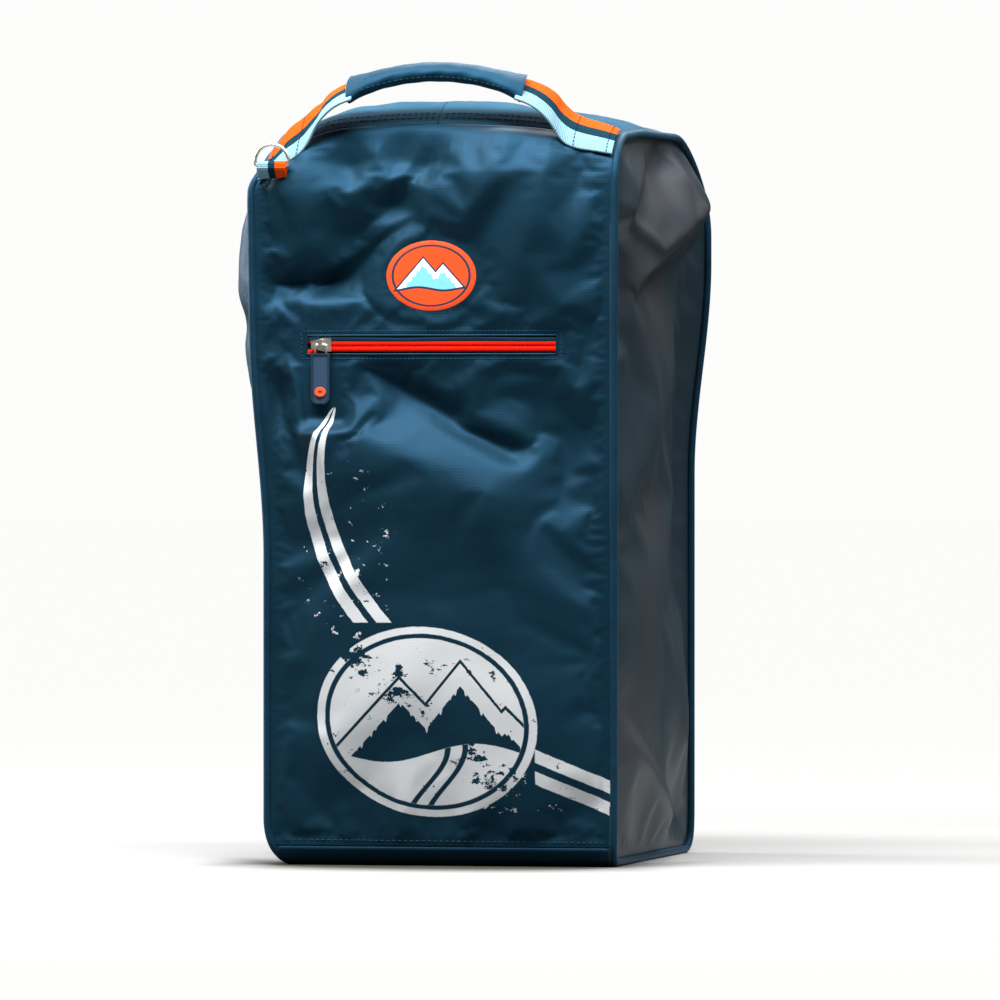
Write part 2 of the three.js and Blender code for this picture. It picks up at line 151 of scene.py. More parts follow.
def subdivide(obj):
    modifier(obj, "SUBSURF", levels=1, render_levels=1)


@contextmanager
def editing(obj):
    """Opens an object's mesh for bmesh operations and writes it back."""
    bm = bmesh.new()
    bm.from_mesh(obj.data)
    bm.faces.ensure_lookup_table()
    yield bm
    bm.to_mesh(obj.data)
    bm.free()


def distances(points):
    """How far along a polyline each of its points lies."""
    return np.concatenate([[0], np.cumsum(np.linalg.norm(np.diff(points, axis=0), axis=1))])


def arc(cy, cz, r, start, end, steps):
    angles = [math.radians(start + (end - start) * i / steps) for i in range(steps + 1)]
    return [(cy + r * math.cos(a), cz + r * math.sin(a)) for a in angles]


def grid_faces(rows, columns, wrap_rows=False, wrap_columns=False):
    faces = []
    for i in range(rows if wrap_rows else rows - 1):
        for j in range(columns if wrap_columns else columns - 1):
            a, b = i * columns + j, i * columns + (j + 1) % columns
            c = ((i + 1) % rows) * columns + (j + 1) % columns
            d = ((i + 1) % rows) * columns + j
            faces.append((a, b, c, d))
    return faces


def resample(points, count, closed=False):
    """Evenly spaced points along a polyline."""
    pts = np.array([tuple(p) for p in points], float)
    if closed:
        pts = np.vstack([pts, pts[:1]])
    lengths = distances(pts)
    at = np.linspace(0, lengths[-1], count + 1 if closed else count)
    out = np.stack([np.interp(at, lengths, pts[:, k]) for k in range(pts.shape[1])], axis=1)
    return out[:-1] if closed else out


def spline(knots, count):
    """Catmull-Rom curve through the knots, evenly resampled."""
    k = np.array(knots, float)
    k = np.vstack([2 * k[0] - k[1], k, 2 * k[-1] - k[-2]])
    dense = []
    for i in range(1, len(k) - 2):
        for t in np.linspace(0, 1, 16, endpoint=False):
            dense.append(0.5 * (2 * k[i] + (k[i + 1] - k[i - 1]) * t
                                + (2 * k[i - 1] - 5 * k[i] + 4 * k[i + 1] - k[i + 2]) * t ** 2
                                + (3 * k[i] - k[i - 1] - 3 * k[i + 1] + k[i + 2]) * t ** 3))
    dense.append(k[-2])
    return resample(dense, count)


def sweep(name, centres, across, section, look, closed=False):
    """Carries a section (width, height offsets) along centres, its width lying along the vector across."""
    centres = np.array([tuple(c) for c in centres], float)
    count = len(centres)
    if closed:
        along = np.roll(centres, -1, 0) - np.roll(centres, 1, 0)
    else:
        along = np.gradient(centres, axis=0)
    along /= np.linalg.norm(along, axis=1)[:, None]
    width = np.broadcast_to(np.array(across, float), (count, 3))
    up = np.cross(width, along)
    up /= np.linalg.norm(up, axis=1)[:, None]
    side = np.cross(along, up)
    run = distances(centres)
    points, across_values, along_values = [], [], []
    for i in range(count):
        ring = section(i / (count - 1)) if callable(section) else section
        for a, b in ring:
            points.append(centres[i] + side[i] * a + up[i] * b)
            across_values.append(a * MM)
            along_values.append(run[i] * MM)
    n = len(points) // count
    faces = grid_faces(count, n, wrap_rows=closed, wrap_columns=True)
    if not closed:
        faces.append(tuple(range(n))[::-1])
        faces.append(tuple(range((count - 1) * n, count * n)))
    made = new_object(name, points, faces, MATERIALS[look], {"across": across_values, "along": along_values})
    fix_normals(made)
    return made


def strip(name, centres, across, section, look, body, replaces=(), closed=False):
    return place(sweep(name, centres, across, section, look, closed), body, replaces)


def fix_normals(obj):
    with editing(obj) as bm:
        bmesh.ops.recalc_face_normals(bm, faces=bm.faces)


def ellipse_section(width, height, sides=16):
    angles = [2 * math.pi * (i + 0.5) / sides for i in range(sides)]
    return [(width / 2 * math.cos(a), height / 2 * math.sin(a)) for a in angles]


def band_section(width, thickness, steps=12, edge=0.7):
    """Section of flat webbing with softly rounded edges."""
    w, t = width / 2, thickness / 2
    xs = [-w + edge * 0.3 + (width - edge * 0.6) * i / steps for i in range(steps + 1)]
    top = [(x, t) for x in xs]
    bottom = [(x, -t) for x in reversed(xs)]
    return bottom + [(-w, -t * 0.4), (-w, t * 0.4)] + top + [(w, t * 0.4), (w, -t * 0.4)]


# ---- Materials ----------------------------------------------------------------------------------

class Value:
    """A number in a shader, with arithmetic that makes Math nodes."""

    def __init__(self, tree, socket):
        self.tree = tree
        self.socket = socket

    def math(self, operation, *others):
        made = self.tree.nodes.new("ShaderNodeMath")
        made.operation = operation
        for index, value in enumerate((self, *others)):
            if isinstance(value, Value):
                self.tree.links.new(value.socket, made.inputs[index])
            else:
                made.inputs[index].default_value = value
        return Value(self.tree, made.outputs[0])

    def __neg__(self):
        return self * -1.0

    def step(self, low, high):
        """0 below low, 1 above high, smooth between. low may be above high for the reverse."""
        made = self.tree.nodes.new("ShaderNodeMapRange")
        made.interpolation_type = "SMOOTHSTEP"
        made.inputs["From Min"].default_value = min(low, high)
        made.inputs["From Max"].default_value = max(low, high)
        made.inputs["To Min"].default_value = 0.0 if low < high else 1.0
        made.inputs["To Max"].default_value = 1.0 if low < high else 0.0
        self.tree.links.new(self.socket, made.inputs["Value"])
        return Value(self.tree, made.outputs["Result"])


for operator, operation in (("__add__", "ADD"), ("__sub__", "SUBTRACT"), ("__mul__", "MULTIPLY"),
                            ("__truediv__", "DIVIDE"), ("abs", "ABSOLUTE"), ("min", "MINIMUM"),
                            ("max", "MAXIMUM"), ("sine", "SINE"), ("root", "SQRT")):
    setattr(Value, operator, partialmethod(Value.math, operation))


class Finish:
    """A Principled material and the helpers that build its node tree."""

    def __init__(self, name, color, roughness, **sockets):
        self.material = bpy.data.materials.new(name)
        self.material.use_nodes = True
        self.tree = self.material.node_tree
        self.shader = self.tree.nodes["Principled BSDF"]
        self.color = color
        self.set("Base Color", (*color, 1.0))
        self.set("Roughness", roughness)
        for key, value in sockets.items():
            self.set(key.replace("_", " ").title().replace("Ior", "IOR"), value)
        self.position = self.node("TexCoord").outputs["Object"]

    def node(self, kind, **inputs):
        """Adds a node and sets the named inputs."""
        made = self.tree.nodes.new("ShaderNode" + kind)
        for key, value in inputs.items():
            made.inputs[key].default_value = value
        return made

    def set(self, socket, value):
        self.shader.inputs[socket].default_value = value

    def link(self, source, target):
        self.tree.links.new(source.socket if isinstance(source, Value) else source, target)

    def axes(self):
        split = self.node("SeparateXYZ")
        self.link(self.position, split.inputs[0])
        return [Value(self.tree, split.outputs[k]) for k in range(3)]

    def attribute(self, name):
        made = self.node("Attribute")
        made.attribute_name = name
        return Value(self.tree, made.outputs["Fac"])

    def noise(self, scale, detail=3.0, roughness=0.5, stretch=(1, 1, 1)):
        mapping = self.node("Mapping", Scale=stretch)
        self.link(self.position, mapping.inputs["Vector"])
        made = self.node("TexNoise", Scale=scale, Detail=detail, Roughness=roughness)
        self.link(mapping.outputs[0], made.inputs["Vector"])
        return Value(self.tree, made.outputs["Fac"])

    def cells(self, scale, randomness):
        made = self.node("TexVoronoi", Scale=scale, Randomness=randomness)
        self.link(self.position, made.inputs["Vector"])
        return Value(self.tree, made.outputs["Distance"])

    def mix(self, factor, first, second, blend_type="MIX"):
        """Colour mix. Either colour may be a tuple or a socket, and the factor a number."""
        made = self.node("Mix")
        made.data_type = "RGBA"
        made.blend_type = blend_type
        if isinstance(factor, float):
            made.inputs["Factor"].default_value = factor
        else:
            self.link(factor, made.inputs["Factor"])
        for slot, value in ((6, first), (7, second)):
            if isinstance(value, tuple):
                made.inputs[slot].default_value = (*value, 1.0)
            else:
                self.link(value, made.inputs[slot])
        return made.outputs[2]

    def paint(self, socket):
        self.link(socket, self.shader.inputs["Base Color"])

    def vary(self, factor, low, high):
        """Shades the base colour between two brightnesses."""
        self.paint(self.mix(factor, shade(self.color, low), shade(self.color, high)))

    def rough(self, value):
        self.link(value, self.shader.inputs["Roughness"])

    def bump(self, height, distance_mm, strength=1.0):
        made = self.node("Bump", Distance=distance_mm * MM, Strength=strength)
        self.link(height, made.inputs["Height"])
        last = self.shader.inputs["Normal"]
        if last.is_linked:
            self.link(last.links[0].from_socket, made.inputs["Normal"])
        self.link(made.outputs[0], last)


def shade(color, factor):
    return tuple(min(1.0, c * factor) for c in color)


def woven(name, color, pitch_mm=1.1, sheen=0.045, roughness=0.5, contrast=0.3, overlay=None, specular=0.36):
    """Plain-woven nylon: threads both ways, slubs, soft colour variation and wear. overlay(finish, colour)
    returns the colour with something printed on it."""
    made = Finish(name, color, roughness, sheen_weight=sheen, sheen_roughness=0.4,
                  sheen_tint=(0.25, 0.6, 1.0, 1.0), specular_ior_level=specular,
                  specular_tint=(0.12, 0.5, 1.0, 1.0))
    x, y, z = made.axes()
    turn = 2 * math.pi / (pitch_mm * MM)
    slub = made.noise(260, 2, stretch=(0.12, 0.12, 1.6))
    upright = ((x + y) * turn).sine()
    weft = (z * turn + slub * 2.0).sine()
    threads = upright * weft * 0.5 + weft * 0.25 + 0.5
    broad = made.noise(14, 4, 0.6)
    streak = made.noise(60, 2, stretch=(0.25, 0.25, 1.4))
    tone = threads * contrast + broad * 0.5 + streak * 0.35
    cloth = made.mix(tone.step(0.2, 1.0), shade(color, 0.65), shade(color, 1.5))
    made.paint(overlay(made, cloth) if overlay else cloth)
    made.rough(broad * 0.16 + (roughness - 0.06))
    made.bump(threads, 0.12, 0.55)
    made.bump(streak, 0.25, 0.35)
    made.bump(made.noise(120, 3), 0.3, 0.35)
    return made.material


NAVY = (0.0032, 0.0165, 0.0265)
PRINT_WHITE = (0.6, 0.62, 0.63)


def squares(x, z, a, b):
    """1 on an ellipse with half axes a and b, 0 at its centre."""
    return (x / a) * (x / a) + (z / b) * (z / b)


def peak(x, z, at, height, slope):
    """Positive below a mountain's two straight flanks."""
    return -(x - at).abs() * slope + height - z


def between(value, low, high, soft):
    return value.step(low - soft, low + soft) * value.step(high + soft, high - soft)


def printed_mountain(made, cloth):
    """Large worn print: snowy peaks in a disc, with a pair of ski tracks running down to it and off."""
    x, _, z = (axis / MM for axis in made.axes())
    fray = (made.noise(160, 4, 0.7) - 0.5) * 3.0
    x, z = x + fray * 0.35, z + fray * 0.35
    soft = 0.35
    # The disc is an oval that leans to one side; ring grows from its centre to its rim at radius
    disc_x, disc_z = x + 2.0, z - 107.0
    cosine, sine, radius = 0.985, 0.174, 75.0
    turned_x = disc_x * cosine + disc_z * -sine
    turned_z = disc_z * cosine + disc_x * sine
    ring = squares(turned_x, turned_z, 84.0, 70.0).root() * radius
    disc = ring.step(radius + soft, radius - soft) * (-between(ring, 66.0, 69.5, soft) + 1.0)
    # Two-peaked ridge with a zigzag snow line, over snow crossed by tracks
    ridge = peak(x, z, -22, 140, 1.05).max(peak(x, z, 24, 152, 1.2)).max(peak(x, z, 58, 118, 1.0))
    zigzag = ((x * 0.52).sine() * 5.0 + (x * 1.13 + 1.0).sine() * 2.5).abs()
    snow_edge = (ridge - zigzag - 14.0).step(-soft, soft)
    ground = (x * 0.045).sine() * 7.0 + 84.0 - z
    rock = ridge.step(18.0, 18.6) * snow_edge * ground.step(soft, -soft)
    outline = between(ridge, -1.6, 1.6, soft) * ground.step(soft, -soft)
    downhill = (z - 60.0) * 0.055
    trail = x - downhill.sine() * 16.0 - 4.0
    tracks = (between(trail, -9.0, -4.5, soft) + between(trail, 4.5, 9.0, soft)) * ground.step(-soft, soft)
    inner = ring.step(66.0 + soft, 66.0 - soft)
    disc = disc * (-(rock.max(outline).max(tracks) * inner) + 1.0)
    # Tracks that run down from the pocket and taper towards the top
    share = (z - 175.0) / 165.0
    centre = share * -148.0 + share * share * 112.0 - 38.0
    half = (-share + 1.0).max(0.0).root() * 15.0
    away = (x - centre).abs()
    upper = away.step(0.0, 0.3) * (half - away).step(-soft, soft) * (away / half.max(0.1)).step(0.2, 0.24)
    upper = upper * share.step(0.03, 0.035) * share.step(1.0, 0.99)
    # Tracks that run off to the right
    run = (x - 80.0) * -0.42 + 74.0
    off = (z - run).abs()
    lower = between(off, 3.2, 13.0, soft) * x.step(79.0, 80.0)
    shape = disc.max(upper).max(lower)
    # Worn patches along two bands, and flecks scattered beside the print
    blotch = made.noise(75, 6, 0.72, stretch=(1, 1, 1.4))
    diagonal = ((x * 0.62 + z * 0.78 - 84.0) / 26.0).abs().step(1.0, 0.0)
    diagonal = diagonal.max(((x - 95.0).abs() / 22.0).step(1.0, 0.0) * 0.6)
    worn = (blotch - diagonal * 0.115).step(0.352, 0.362)
    flecks = made.noise(105, 5, 0.7, stretch=(1, 1, 1.2))
    near = squares(x + 62.0, z - 232.0, 42.0, 70.0)
    under = squares(x - 70.0, z - 50.0, 44.0, 20.0)
    splash = flecks.step(0.628, 0.634) * near.min(under).step(1.0, 0.7)
    shape = (shape * worn).max(splash)
    return made.mix(shape, cloth, PRINT_WHITE)


def badge_print():
    """Orange oval transfer with a dark line inside its rim and pale-blue peaks."""
    orange, navy, blue = (0.9, 0.075, 0.012), (0.005, 0.03, 0.06), (0.2, 0.58, 0.72)
    made = Finish("badge_print", orange, 0.42, specular_ior_level=0.45)
    x, _, z = (axis / MM for axis in made.axes())
    x, z = x - BADGE_X, z - BADGE_Z
    oval = squares(x, z, BADGE_HALF_WIDTH, BADGE_HALF_HEIGHT).root()
    grain = made.noise(700, 2)
    base = made.mix(grain, shade(orange, 0.9), shade(orange, 1.08))
    base = made.mix(between(oval, 0.83, 0.885, 0.008), base, navy)
    peaks = peak(x, z, -6, 13, 1.15).max(peak(x, z, 9, 8.5, 1.1))
    floor = z + 9.0 + (x * 0.16).sine() * 1.2
    body = peaks.step(-0.15, 0.15) * floor.step(-0.1, 0.1)
    rim = peaks.step(-1.9, -1.6) * (floor + 1.6).step(-0.1, 0.1)
    caps = (peaks - (x * 0.9).sine().abs() * 2.4 - 4.0).step(0.15, -0.15)
    base = made.mix(rim, base, navy)
    base = made.mix(body, base, blue)
    made.paint(made.mix(body * caps, base, (0.75, 0.86, 0.88)))
    made.rough(grain * 0.12 + 0.36)
    made.bump(grain, 0.05, 0.5)
    return made.material


def tarpaulin():
    grey = (0.010, 0.023, 0.033)
    made = Finish("grey_tarpaulin", grey, 0.42, specular_ior_level=0.5, specular_tint=(0.6, 0.84, 1.0, 1.0))
    broad = made.noise(9, 4, 0.55)
    fine = made.noise(420, 2)
    made.paint(made.mix(made.noise(5, 2).step(0.45, 0.75), grey, (0.036, 0.034, 0.036)))
    made.rough(broad * 0.14 + fine * 0.08 + 0.36)
    made.bump(fine, 0.05, 0.5)
    made.bump(made.noise(30, 4, 0.6), 0.5, 0.3)
    return made.material


WEBBING_BLUE = (0.19, 0.34, 0.42)
WEBBING_TEAL = (0.003, 0.028, 0.042)
WEBBING_ORANGE = (0.78, 0.075, 0.004)


def striped_webbing(name, width_mm):
    """Webbing with three stripes side by side, light blue to orange."""
    made = Finish(name, WEBBING_BLUE, 0.8, specular_ior_level=0.04)
    across = made.attribute("across") / (width_mm * MM) + 0.5
    along = made.attribute("along")
    ribs = (along * (2 * math.pi / (1.5 * MM))).sine()
    threads = (across * (2 * math.pi * 16)).sine()
    weave = ribs * 0.5 + threads * ribs * 0.35 + 0.5
    fuzz = made.noise(900, 2)
    edge = across + (fuzz - 0.5) * 0.015
    cold = made.mix(edge.step(0.375, 0.385), WEBBING_BLUE, WEBBING_TEAL)
    stripes = made.mix(edge.step(0.635, 0.645), cold, WEBBING_ORANGE)
    dark = made.mix(weave.step(0.0, 0.9), (0.55, 0.55, 0.58), (1.0, 1.0, 1.0))
    made.paint(made.mix(0.8, stripes, dark, "MULTIPLY"))
    made.bump(weave, 0.3, 0.8)
    made.bump(fuzz, 0.1, 0.4)
    return made.material


def dark_webbing():
    made = Finish("navy_webbing", (0.006, 0.016, 0.028), 0.75, sheen_weight=0.25, specular_ior_level=0.3)
    across, along = made.attribute("across"), made.attribute("along")
    ribs = (along * (2 * math.pi / (1.6 * MM))).sine()
    threads = (across * (2 * math.pi / (2.2 * MM))).sine()
    weave = ribs * 0.4 + threads * 0.3 + 0.5
    made.vary(weave.step(0.0, 1.0), 0.6, 1.9)
    made.bump(weave, 0.3, 0.8)
    return made.material


def metal(name, color, roughness):
    made = Finish(name, color, roughness, metallic=1.0)
    scratch = made.noise(700, 3, stretch=(0.2, 1, 1))
    made.vary(scratch, 0.82, 1.08)
    made.rough(scratch * 0.2 + roughness * 0.6)
    made.bump(scratch, 0.02, 0.5)
    return made.material


def moulded(name, color, roughness=0.5):
    made = Finish(name, color, roughness, specular_ior_level=0.4)
    grain = made.noise(1200, 2)
    made.vary(made.noise(60, 3), 0.85, 1.15)
    made.rough(grain * 0.15 + (roughness - 0.07))
    made.bump(grain, 0.04, 0.6)
    return made.material


def coil_material(name, color):
    made = Finish(name, color, 0.45, specular_ior_level=0.2, specular_tint=(*color, 1.0))
    made.vary(made.noise(300, 2), 0.8, 1.15)
    made.bump(made.noise(1500, 2), 0.05, 0.5)
    return made.material


def mesh_fabric():
    made = Finish("air_mesh", (0.006, 0.017, 0.03), 0.85, sheen_weight=0.3, specular_ior_level=0.2)
    cell = made.cells(330, randomness=0.15)
    hole = cell.step(0.3, 0.5)
    # Painted shade: the mesh's sunken holes are coloured far darker than its strands
    made.vary(hole, 0.25, 2.2)
    made.bump(hole, 0.5, 0.9)
    return made.material


def thread(name, color):
    made = Finish(name, color, 0.6, specular_ior_level=0.1)
    made.vary(made.noise(900, 2), 0.7, 1.3)
    made.bump(made.noise(2500, 1), 0.05, 0.6)
    return made.material


MATERIALS = {
    "weave": woven("navy_weave", NAVY),
    "printed": woven("printed_weave", NAVY, overlay=printed_mountain),
    "badge": badge_print(),
    # Painted light: the top panels use the navy weave with a base colour several times lighter, standing in
    # for the light falling on the upward-facing top
    "top_weave_painted_light": woven("top_weave_painted_light", (0.015, 0.062, 0.102), sheen=0.03, roughness=0.75, contrast=0.1,
                       specular=0.1),
    "tarpaulin": tarpaulin(),
    "piping": woven("navy_piping", (0.005, 0.024, 0.042), 0.9, 0.1, 0.5, specular=0.25),
    "webbing": striped_webbing("striped_webbing", 38),
    "tab_webbing": striped_webbing("striped_tab_webbing", 20),
    "grip": woven("grip_wrap", (0.004, 0.026, 0.045), 1.0, 0.1, 0.5, specular=0.3),
    "strap": woven("strap_fabric", (0.006, 0.018, 0.032), 1.3, 0.2, 0.65),
    "strap_webbing": dark_webbing(),
    "mesh": mesh_fabric(),
    "nickel": metal("nickel", (0.95, 0.89, 0.79), 0.42),
    "rubber": moulded("rubber_pull", (0.007, 0.026, 0.05)),
    "rubber_face": moulded("rubber_pull_face", (0.022, 0.055, 0.105)),
    "orange": moulded("badge_orange", (0.95, 0.1, 0.025), 0.45),
    "coil": coil_material("red_coil", (0.85, 0.012, 0.004)),
    "dark_coil": coil_material("dark_coil", (0.008, 0.02, 0.035)),
    "tape": woven("zip_tape", (0.004, 0.014, 0.024), 0.8, 0.1, 0.7),
    "buckle": moulded("buckle_plastic", (0.01, 0.012, 0.014)),
    "lining": moulded("coated_lining", (0.013, 0.018, 0.025), 0.6),
    "board": moulded("base_stiffener", (0.02, 0.022, 0.025), 0.7),
    "thread": thread("navy_thread", (0.013, 0.058, 0.095)),
    "dark_thread": thread("dark_thread", (0.002, 0.008, 0.014)),
}


# ---- Shape of the sagging shell -----------------------------------------------------------------

def outline_path():
    """The profile of the wrap in the YZ plane: lists of (y, z), one per fabric piece."""
    front_arc = arc(FRONT + R_FRONT_TOP, TOP - R_FRONT_TOP, R_FRONT_TOP, 180, 90, 10)
    rear_arc = arc(BACK - R_REAR_TOP, TOP - R_REAR_TOP, R_REAR_TOP, 90, 0, 12)
    low_rear = arc(BACK - R_BASE, R_BASE, R_BASE, 0, -90, 5)
    low_front = arc(FRONT + R_BASE, R_BASE, R_BASE, -90, -180, 5)
    seam = 6
    return {
        "front": [(FRONT, R_BASE)] + front_arc[:seam + 1],
        "top": front_arc[seam:] + rear_arc[:1],
        "yoke": rear_arc,
        "surround": [rear_arc[-1], (BACK, R_BASE)],
        "base": low_rear + low_front,
    }


PATHS = outline_path()
SEAM = HALF + 3.0  # where the wrap meets the side panels


def warp(p):
    """Where a point of the plain shell lies once the bag has slumped on its base."""
    x, y, z = p[..., 0], p[..., 1], p[..., 2]
    # How much a point belongs to each region, 0 to 1
    frontness = smooth(120, -150, y)
    upper = smooth(380, 520, z)
    rise = smooth(505, 545, z)
    cross = np.clip(1 - (x / SEAM) ** 2, 0, 1)
    edge = smooth(112, SEAM, np.abs(x))
    left = smooth(0, -SEAM, x)
    corner = smooth(-70, -132, x) * smooth(-40, -130, y)
    shoulder = smooth(290, 450, z) * smooth(580, 470, z)
    toe = 1 - np.sqrt(1 - np.clip(1 - z / 34, 0, 1) ** 2)
    # Sideways: the lower left is drawn in, the shoulders spread, the foot and the top left corner round off
    new_x = x + 11 * left * frontness * smooth(400, 230, z) - 2 * left * upper
    new_x = new_x + np.sign(x) * edge * (13 * shoulder * smooth(0, 150, y) - 3 * toe)
    new_x = new_x + smooth(-90, -SEAM, x) * frontness * (20 * toe + 8 * smooth(515, 545, z))
    # Front to back: the top leans back, the belly swells forward
    new_y = y + 3 * smooth(400, 540, z) * frontness - 4 * corner * rise
    new_y = new_y - 5 * smooth(0, 150, z) * smooth(380, 230, z) * frontness * cross
    # Up and down: the top arches over the boots, its front corners droop
    dome = 21 * cross ** 0.8 * rise * smooth(150, 40, y) * (0.65 + 0.35 * smooth(-135, -95, y))
    droop = 12 * corner * smooth(440, 545, z) + 4 * smooth(70, 132, x) * smooth(-40, -130, y) * rise
    droop = droop + 8 * smooth(-112, -SEAM, x) * smooth(-40, -130, y) * smooth(470, 545, z)
    return np.stack([new_x, new_y, z + dome - droop], axis=-1)


def crease(a, b, p, q, start, end, depth, above, below):
    """A ridge or valley along start-end in the (a, b) plane. p and q are the lengths over which its ends
    fade, above and below set how fast each flank falls."""
    (x0, z0), (x1, z1) = start, end
    length = math.hypot(x1 - x0, z1 - z0)
    ux, uz = (x1 - x0) / length, (z1 - z0) / length
    along = (a - x0) * ux + (b - z0) * uz
    off = -(a - x0) * uz + (b - z0) * ux
    ends = smooth(-p, p, along) * smooth(length + q, length - q, along)
    flank = np.where(off > 0, off / above, off / below)
    return depth * np.exp(-flank ** 2) * ends


def dent(a, b, centre, size, depth, turn=0.0):
    c, s = math.cos(math.radians(turn)), math.sin(math.radians(turn))
    da, db = a - centre[0], b - centre[1]
    u, v = (da * c + db * s) / size[0], (-da * s + db * c) / size[1]
    return depth * np.exp(-(u ** 2 + v ** 2))


def rumple(a, b, seed, scale, stretch=(1.0, 1.0), turn=0.0, octaves=4):
    """Smooth seeded noise made of folded sine waves, about -1 to 1."""
    rng = np.random.default_rng(seed)
    c, s = math.cos(math.radians(turn)), math.sin(math.radians(turn))
    u = (a * c + b * s) / (scale * stretch[0])
    v = (-a * s + b * c) / (scale * stretch[1])
    total = np.zeros_like(a, float)
    size = 1.0
    for _ in range(octaves):
        for _ in range(3):
            angle, phase, bend = rng.uniform(0, math.pi), rng.uniform(0, 6.28), rng.uniform(0.4, 1.1)
            w = math.cos(angle) * u + math.sin(angle) * v
            cross = -math.sin(angle) * u + math.cos(angle) * v
            total += size * np.sin(2 * math.pi * w + phase + bend * np.sin(2.3 * cross + phase)) / 3
        u, v, size = u * 1.9, v * 1.9, size * 0.5
    return total


def near_zip(x, z, outside, inside, margin):
    """1 over the pocket's zip, fading to 0 round it."""
    beside = smooth(ZIP_LEFT - margin, ZIP_LEFT - 6, x) * smooth(ZIP_RIGHT + margin, ZIP_RIGHT + 6, x)
    return smooth(outside, inside, np.abs(z - ZIP_Z)) * beside


def near_tab(x, z, half_width, bottom):
    """1 behind the pocket's pull, fading to 0 round it."""
    return smooth(half_width, 12, np.abs(x - TAB_X)) * smooth(bottom, 332, z) * smooth(384, 374, z)


def front_relief(x, z):
    """How far the front fabric stands out (+) or in (-), in millimetres. Each row holds the arguments of a
    dent or a crease after its two coordinates."""
    h = np.zeros_like(x)
    # Dents where the loose upper fabric hangs from the handle's feet and the top seam
    for row in (
            ((-14, 520), (26, 13), -14),
            ((-30, 494), (18, 16), -13, 30),
            ((-58, 456), (38, 20), -19, 30),
            ((-98, 430), (42, 12), -15, 6),
            ((-66, 518), (16, 12), -9),
            ((-100, 496), (24, 34), 7, 20),
            ((-84, 458), (24, 12), 6, 12),
            ((34, 500), (62, 34), 6),
            ((96, 470), (26, 60), 5)):
        h += dent(x, z, *row)
    for row in (
            (14, 18, (-104, 424), (-28, 478), 6.5, 9, 6),
            (12, 14, (-40, 498), (-8, 530), 5.0, 8, 8),
            (14, 25, (-132, 428), (-70, 420), 5.0, 6, 12),
            (14, 20, (60, 535), (20, 470), 4.0, 12, 16),
            (14, 20, (88, 530), (62, 430), 3.5, 12, 16),
            (10, 20, (112, 520), (98, 440), -3.0, 8, 12)):
        h += crease(x, z, *row)
    # The pocket's bag pushes the fabric out in a slanting lit ridge below the zip
    for row in (
            (16, 22, (-112, 330), (62, 262), 12.0, 26, 34),
            (20, 12, (-44, 366), (66, 300), -9.0, 14, 9)):
        h += crease(x, z, *row)
    h += dent(x, z, (98, 300), (26, 40), -5)
    for row in (
            (10, 16, (-108, 372), (-84, 300), 4.0, 9, 7),
            (8, 14, (20, 330), (70, 318), 4.0, 12, 6),
            (10, 14, (-128, 366), (-100, 285), -7.0, 9, 12)):
        h += crease(x, z, *row)
    h += dent(x, z, (70, 336), (46, 22), -4, -15)
    # Slow swells of the lower front
    for row in (
            ((-30, 180), (90, 70), 4),
            ((60, 110), (70, 50), 2.5)):
        h += dent(x, z, *row)
    for row in (
            (20, 30, (-120, 150), (-40, 230), 2.2, 18, 14),
            (20, 30, (40, 250), (120, 180), 2.2, 16, 16),
            (20, 30, (-128, 250), (-98, 120), -2.5, 10, 14)):
        h += crease(x, z, *row)
    h += 1.5 * rumple(x, z, 3, 120, (1.6, 1.0), 25, 3)
    # Flat at the zip and nearly so at the badge, and not above the pull's back
    flat_badge = smooth(1.6, 1.0, np.hypot(x / 36, (z - BADGE_Z) / 27))
    behind_tab = near_tab(x, z, 26, 318)
    h = h * (1 - behind_tab) + np.minimum(h, 0.5) * behind_tab
    return h * (1 - near_zip(x, z, 18, 8, 18)) * (1 - 0.9 * flat_badge)


def side_bulge(y, z):
    share_y = np.clip((y - FRONT) / (BACK - FRONT), 0, 1)
    share_z = np.clip(z / TOP, 0, 1)
    return np.sin(math.pi * share_y) ** 0.8 * np.sin(math.pi * share_z) ** 0.6


def right_relief(y, z):
    """How far the coated side stands out: full above a V-shaped fold, hollow below it."""
    tip_y, tip_z = -56, 444
    fold = z - tip_z - np.abs(y - tip_y) * np.where(y > tip_y, 0.21, 0.42)
    h = 12 * side_bulge(y, z)
    h += 12 * smooth(-4, 16, fold) * smooth(545, 480, z)
    h -= 10 * smooth(4, -24, fold) * smooth(80, 260, z)
    for row in (
            (20, 24, (34, 536), (-126, 470), -9, 20, 14),
            (20, 24, (70, 530), (10, 462), 5, 18, 22),
            (16, 12, (-140, 482), (-60, 446), 6, 12, 5),
            (14, 40, (-56, 446), (96, 478), 5, 16, 5),
            (30, 50, (-130, 250), (80, 400), 6, 34, 24),
            (14, 24, (-146, 372), (-90, 380), 3.5, 6, 9),
            (30, 50, (-140, 160), (60, 250), 4, 24, 30),
            (20, 30, (-146, 96), (40, 24), 9, 16, 30),
            (20, 30, (30, 60), (130, 20), -6, 20, 20)):
        h += crease(y, z, *row)
    h += 1.2 * rumple(y, z, 11, 130, (1.4, 1.0), 20, 3)
    return h


def left_relief(y, z):
    h = 11 * side_bulge(y, z)
    for row in (
            ((-98, 438), (44, 78), 17),
            ((-30, 380), (60, 60), 4)):
        h += dent(y, z, *row)
    h -= 9 * smooth(340, 240, z) * smooth(30, 120, z) * side_bulge(y, z)
    for row in (
            (20, 30, (-140, 395), (60, 430), -5, 18, 14),
            (20, 30, (-120, 190), (90, 330), 5, 26, 18),
            (20, 30, (-140, 20), (120, 60), 5, 16, 14)):
        h += crease(y, z, *row)
    h += 1.6 * rumple(y, z, 23, 100, (1.4, 1.0), -15, 4)
    return h


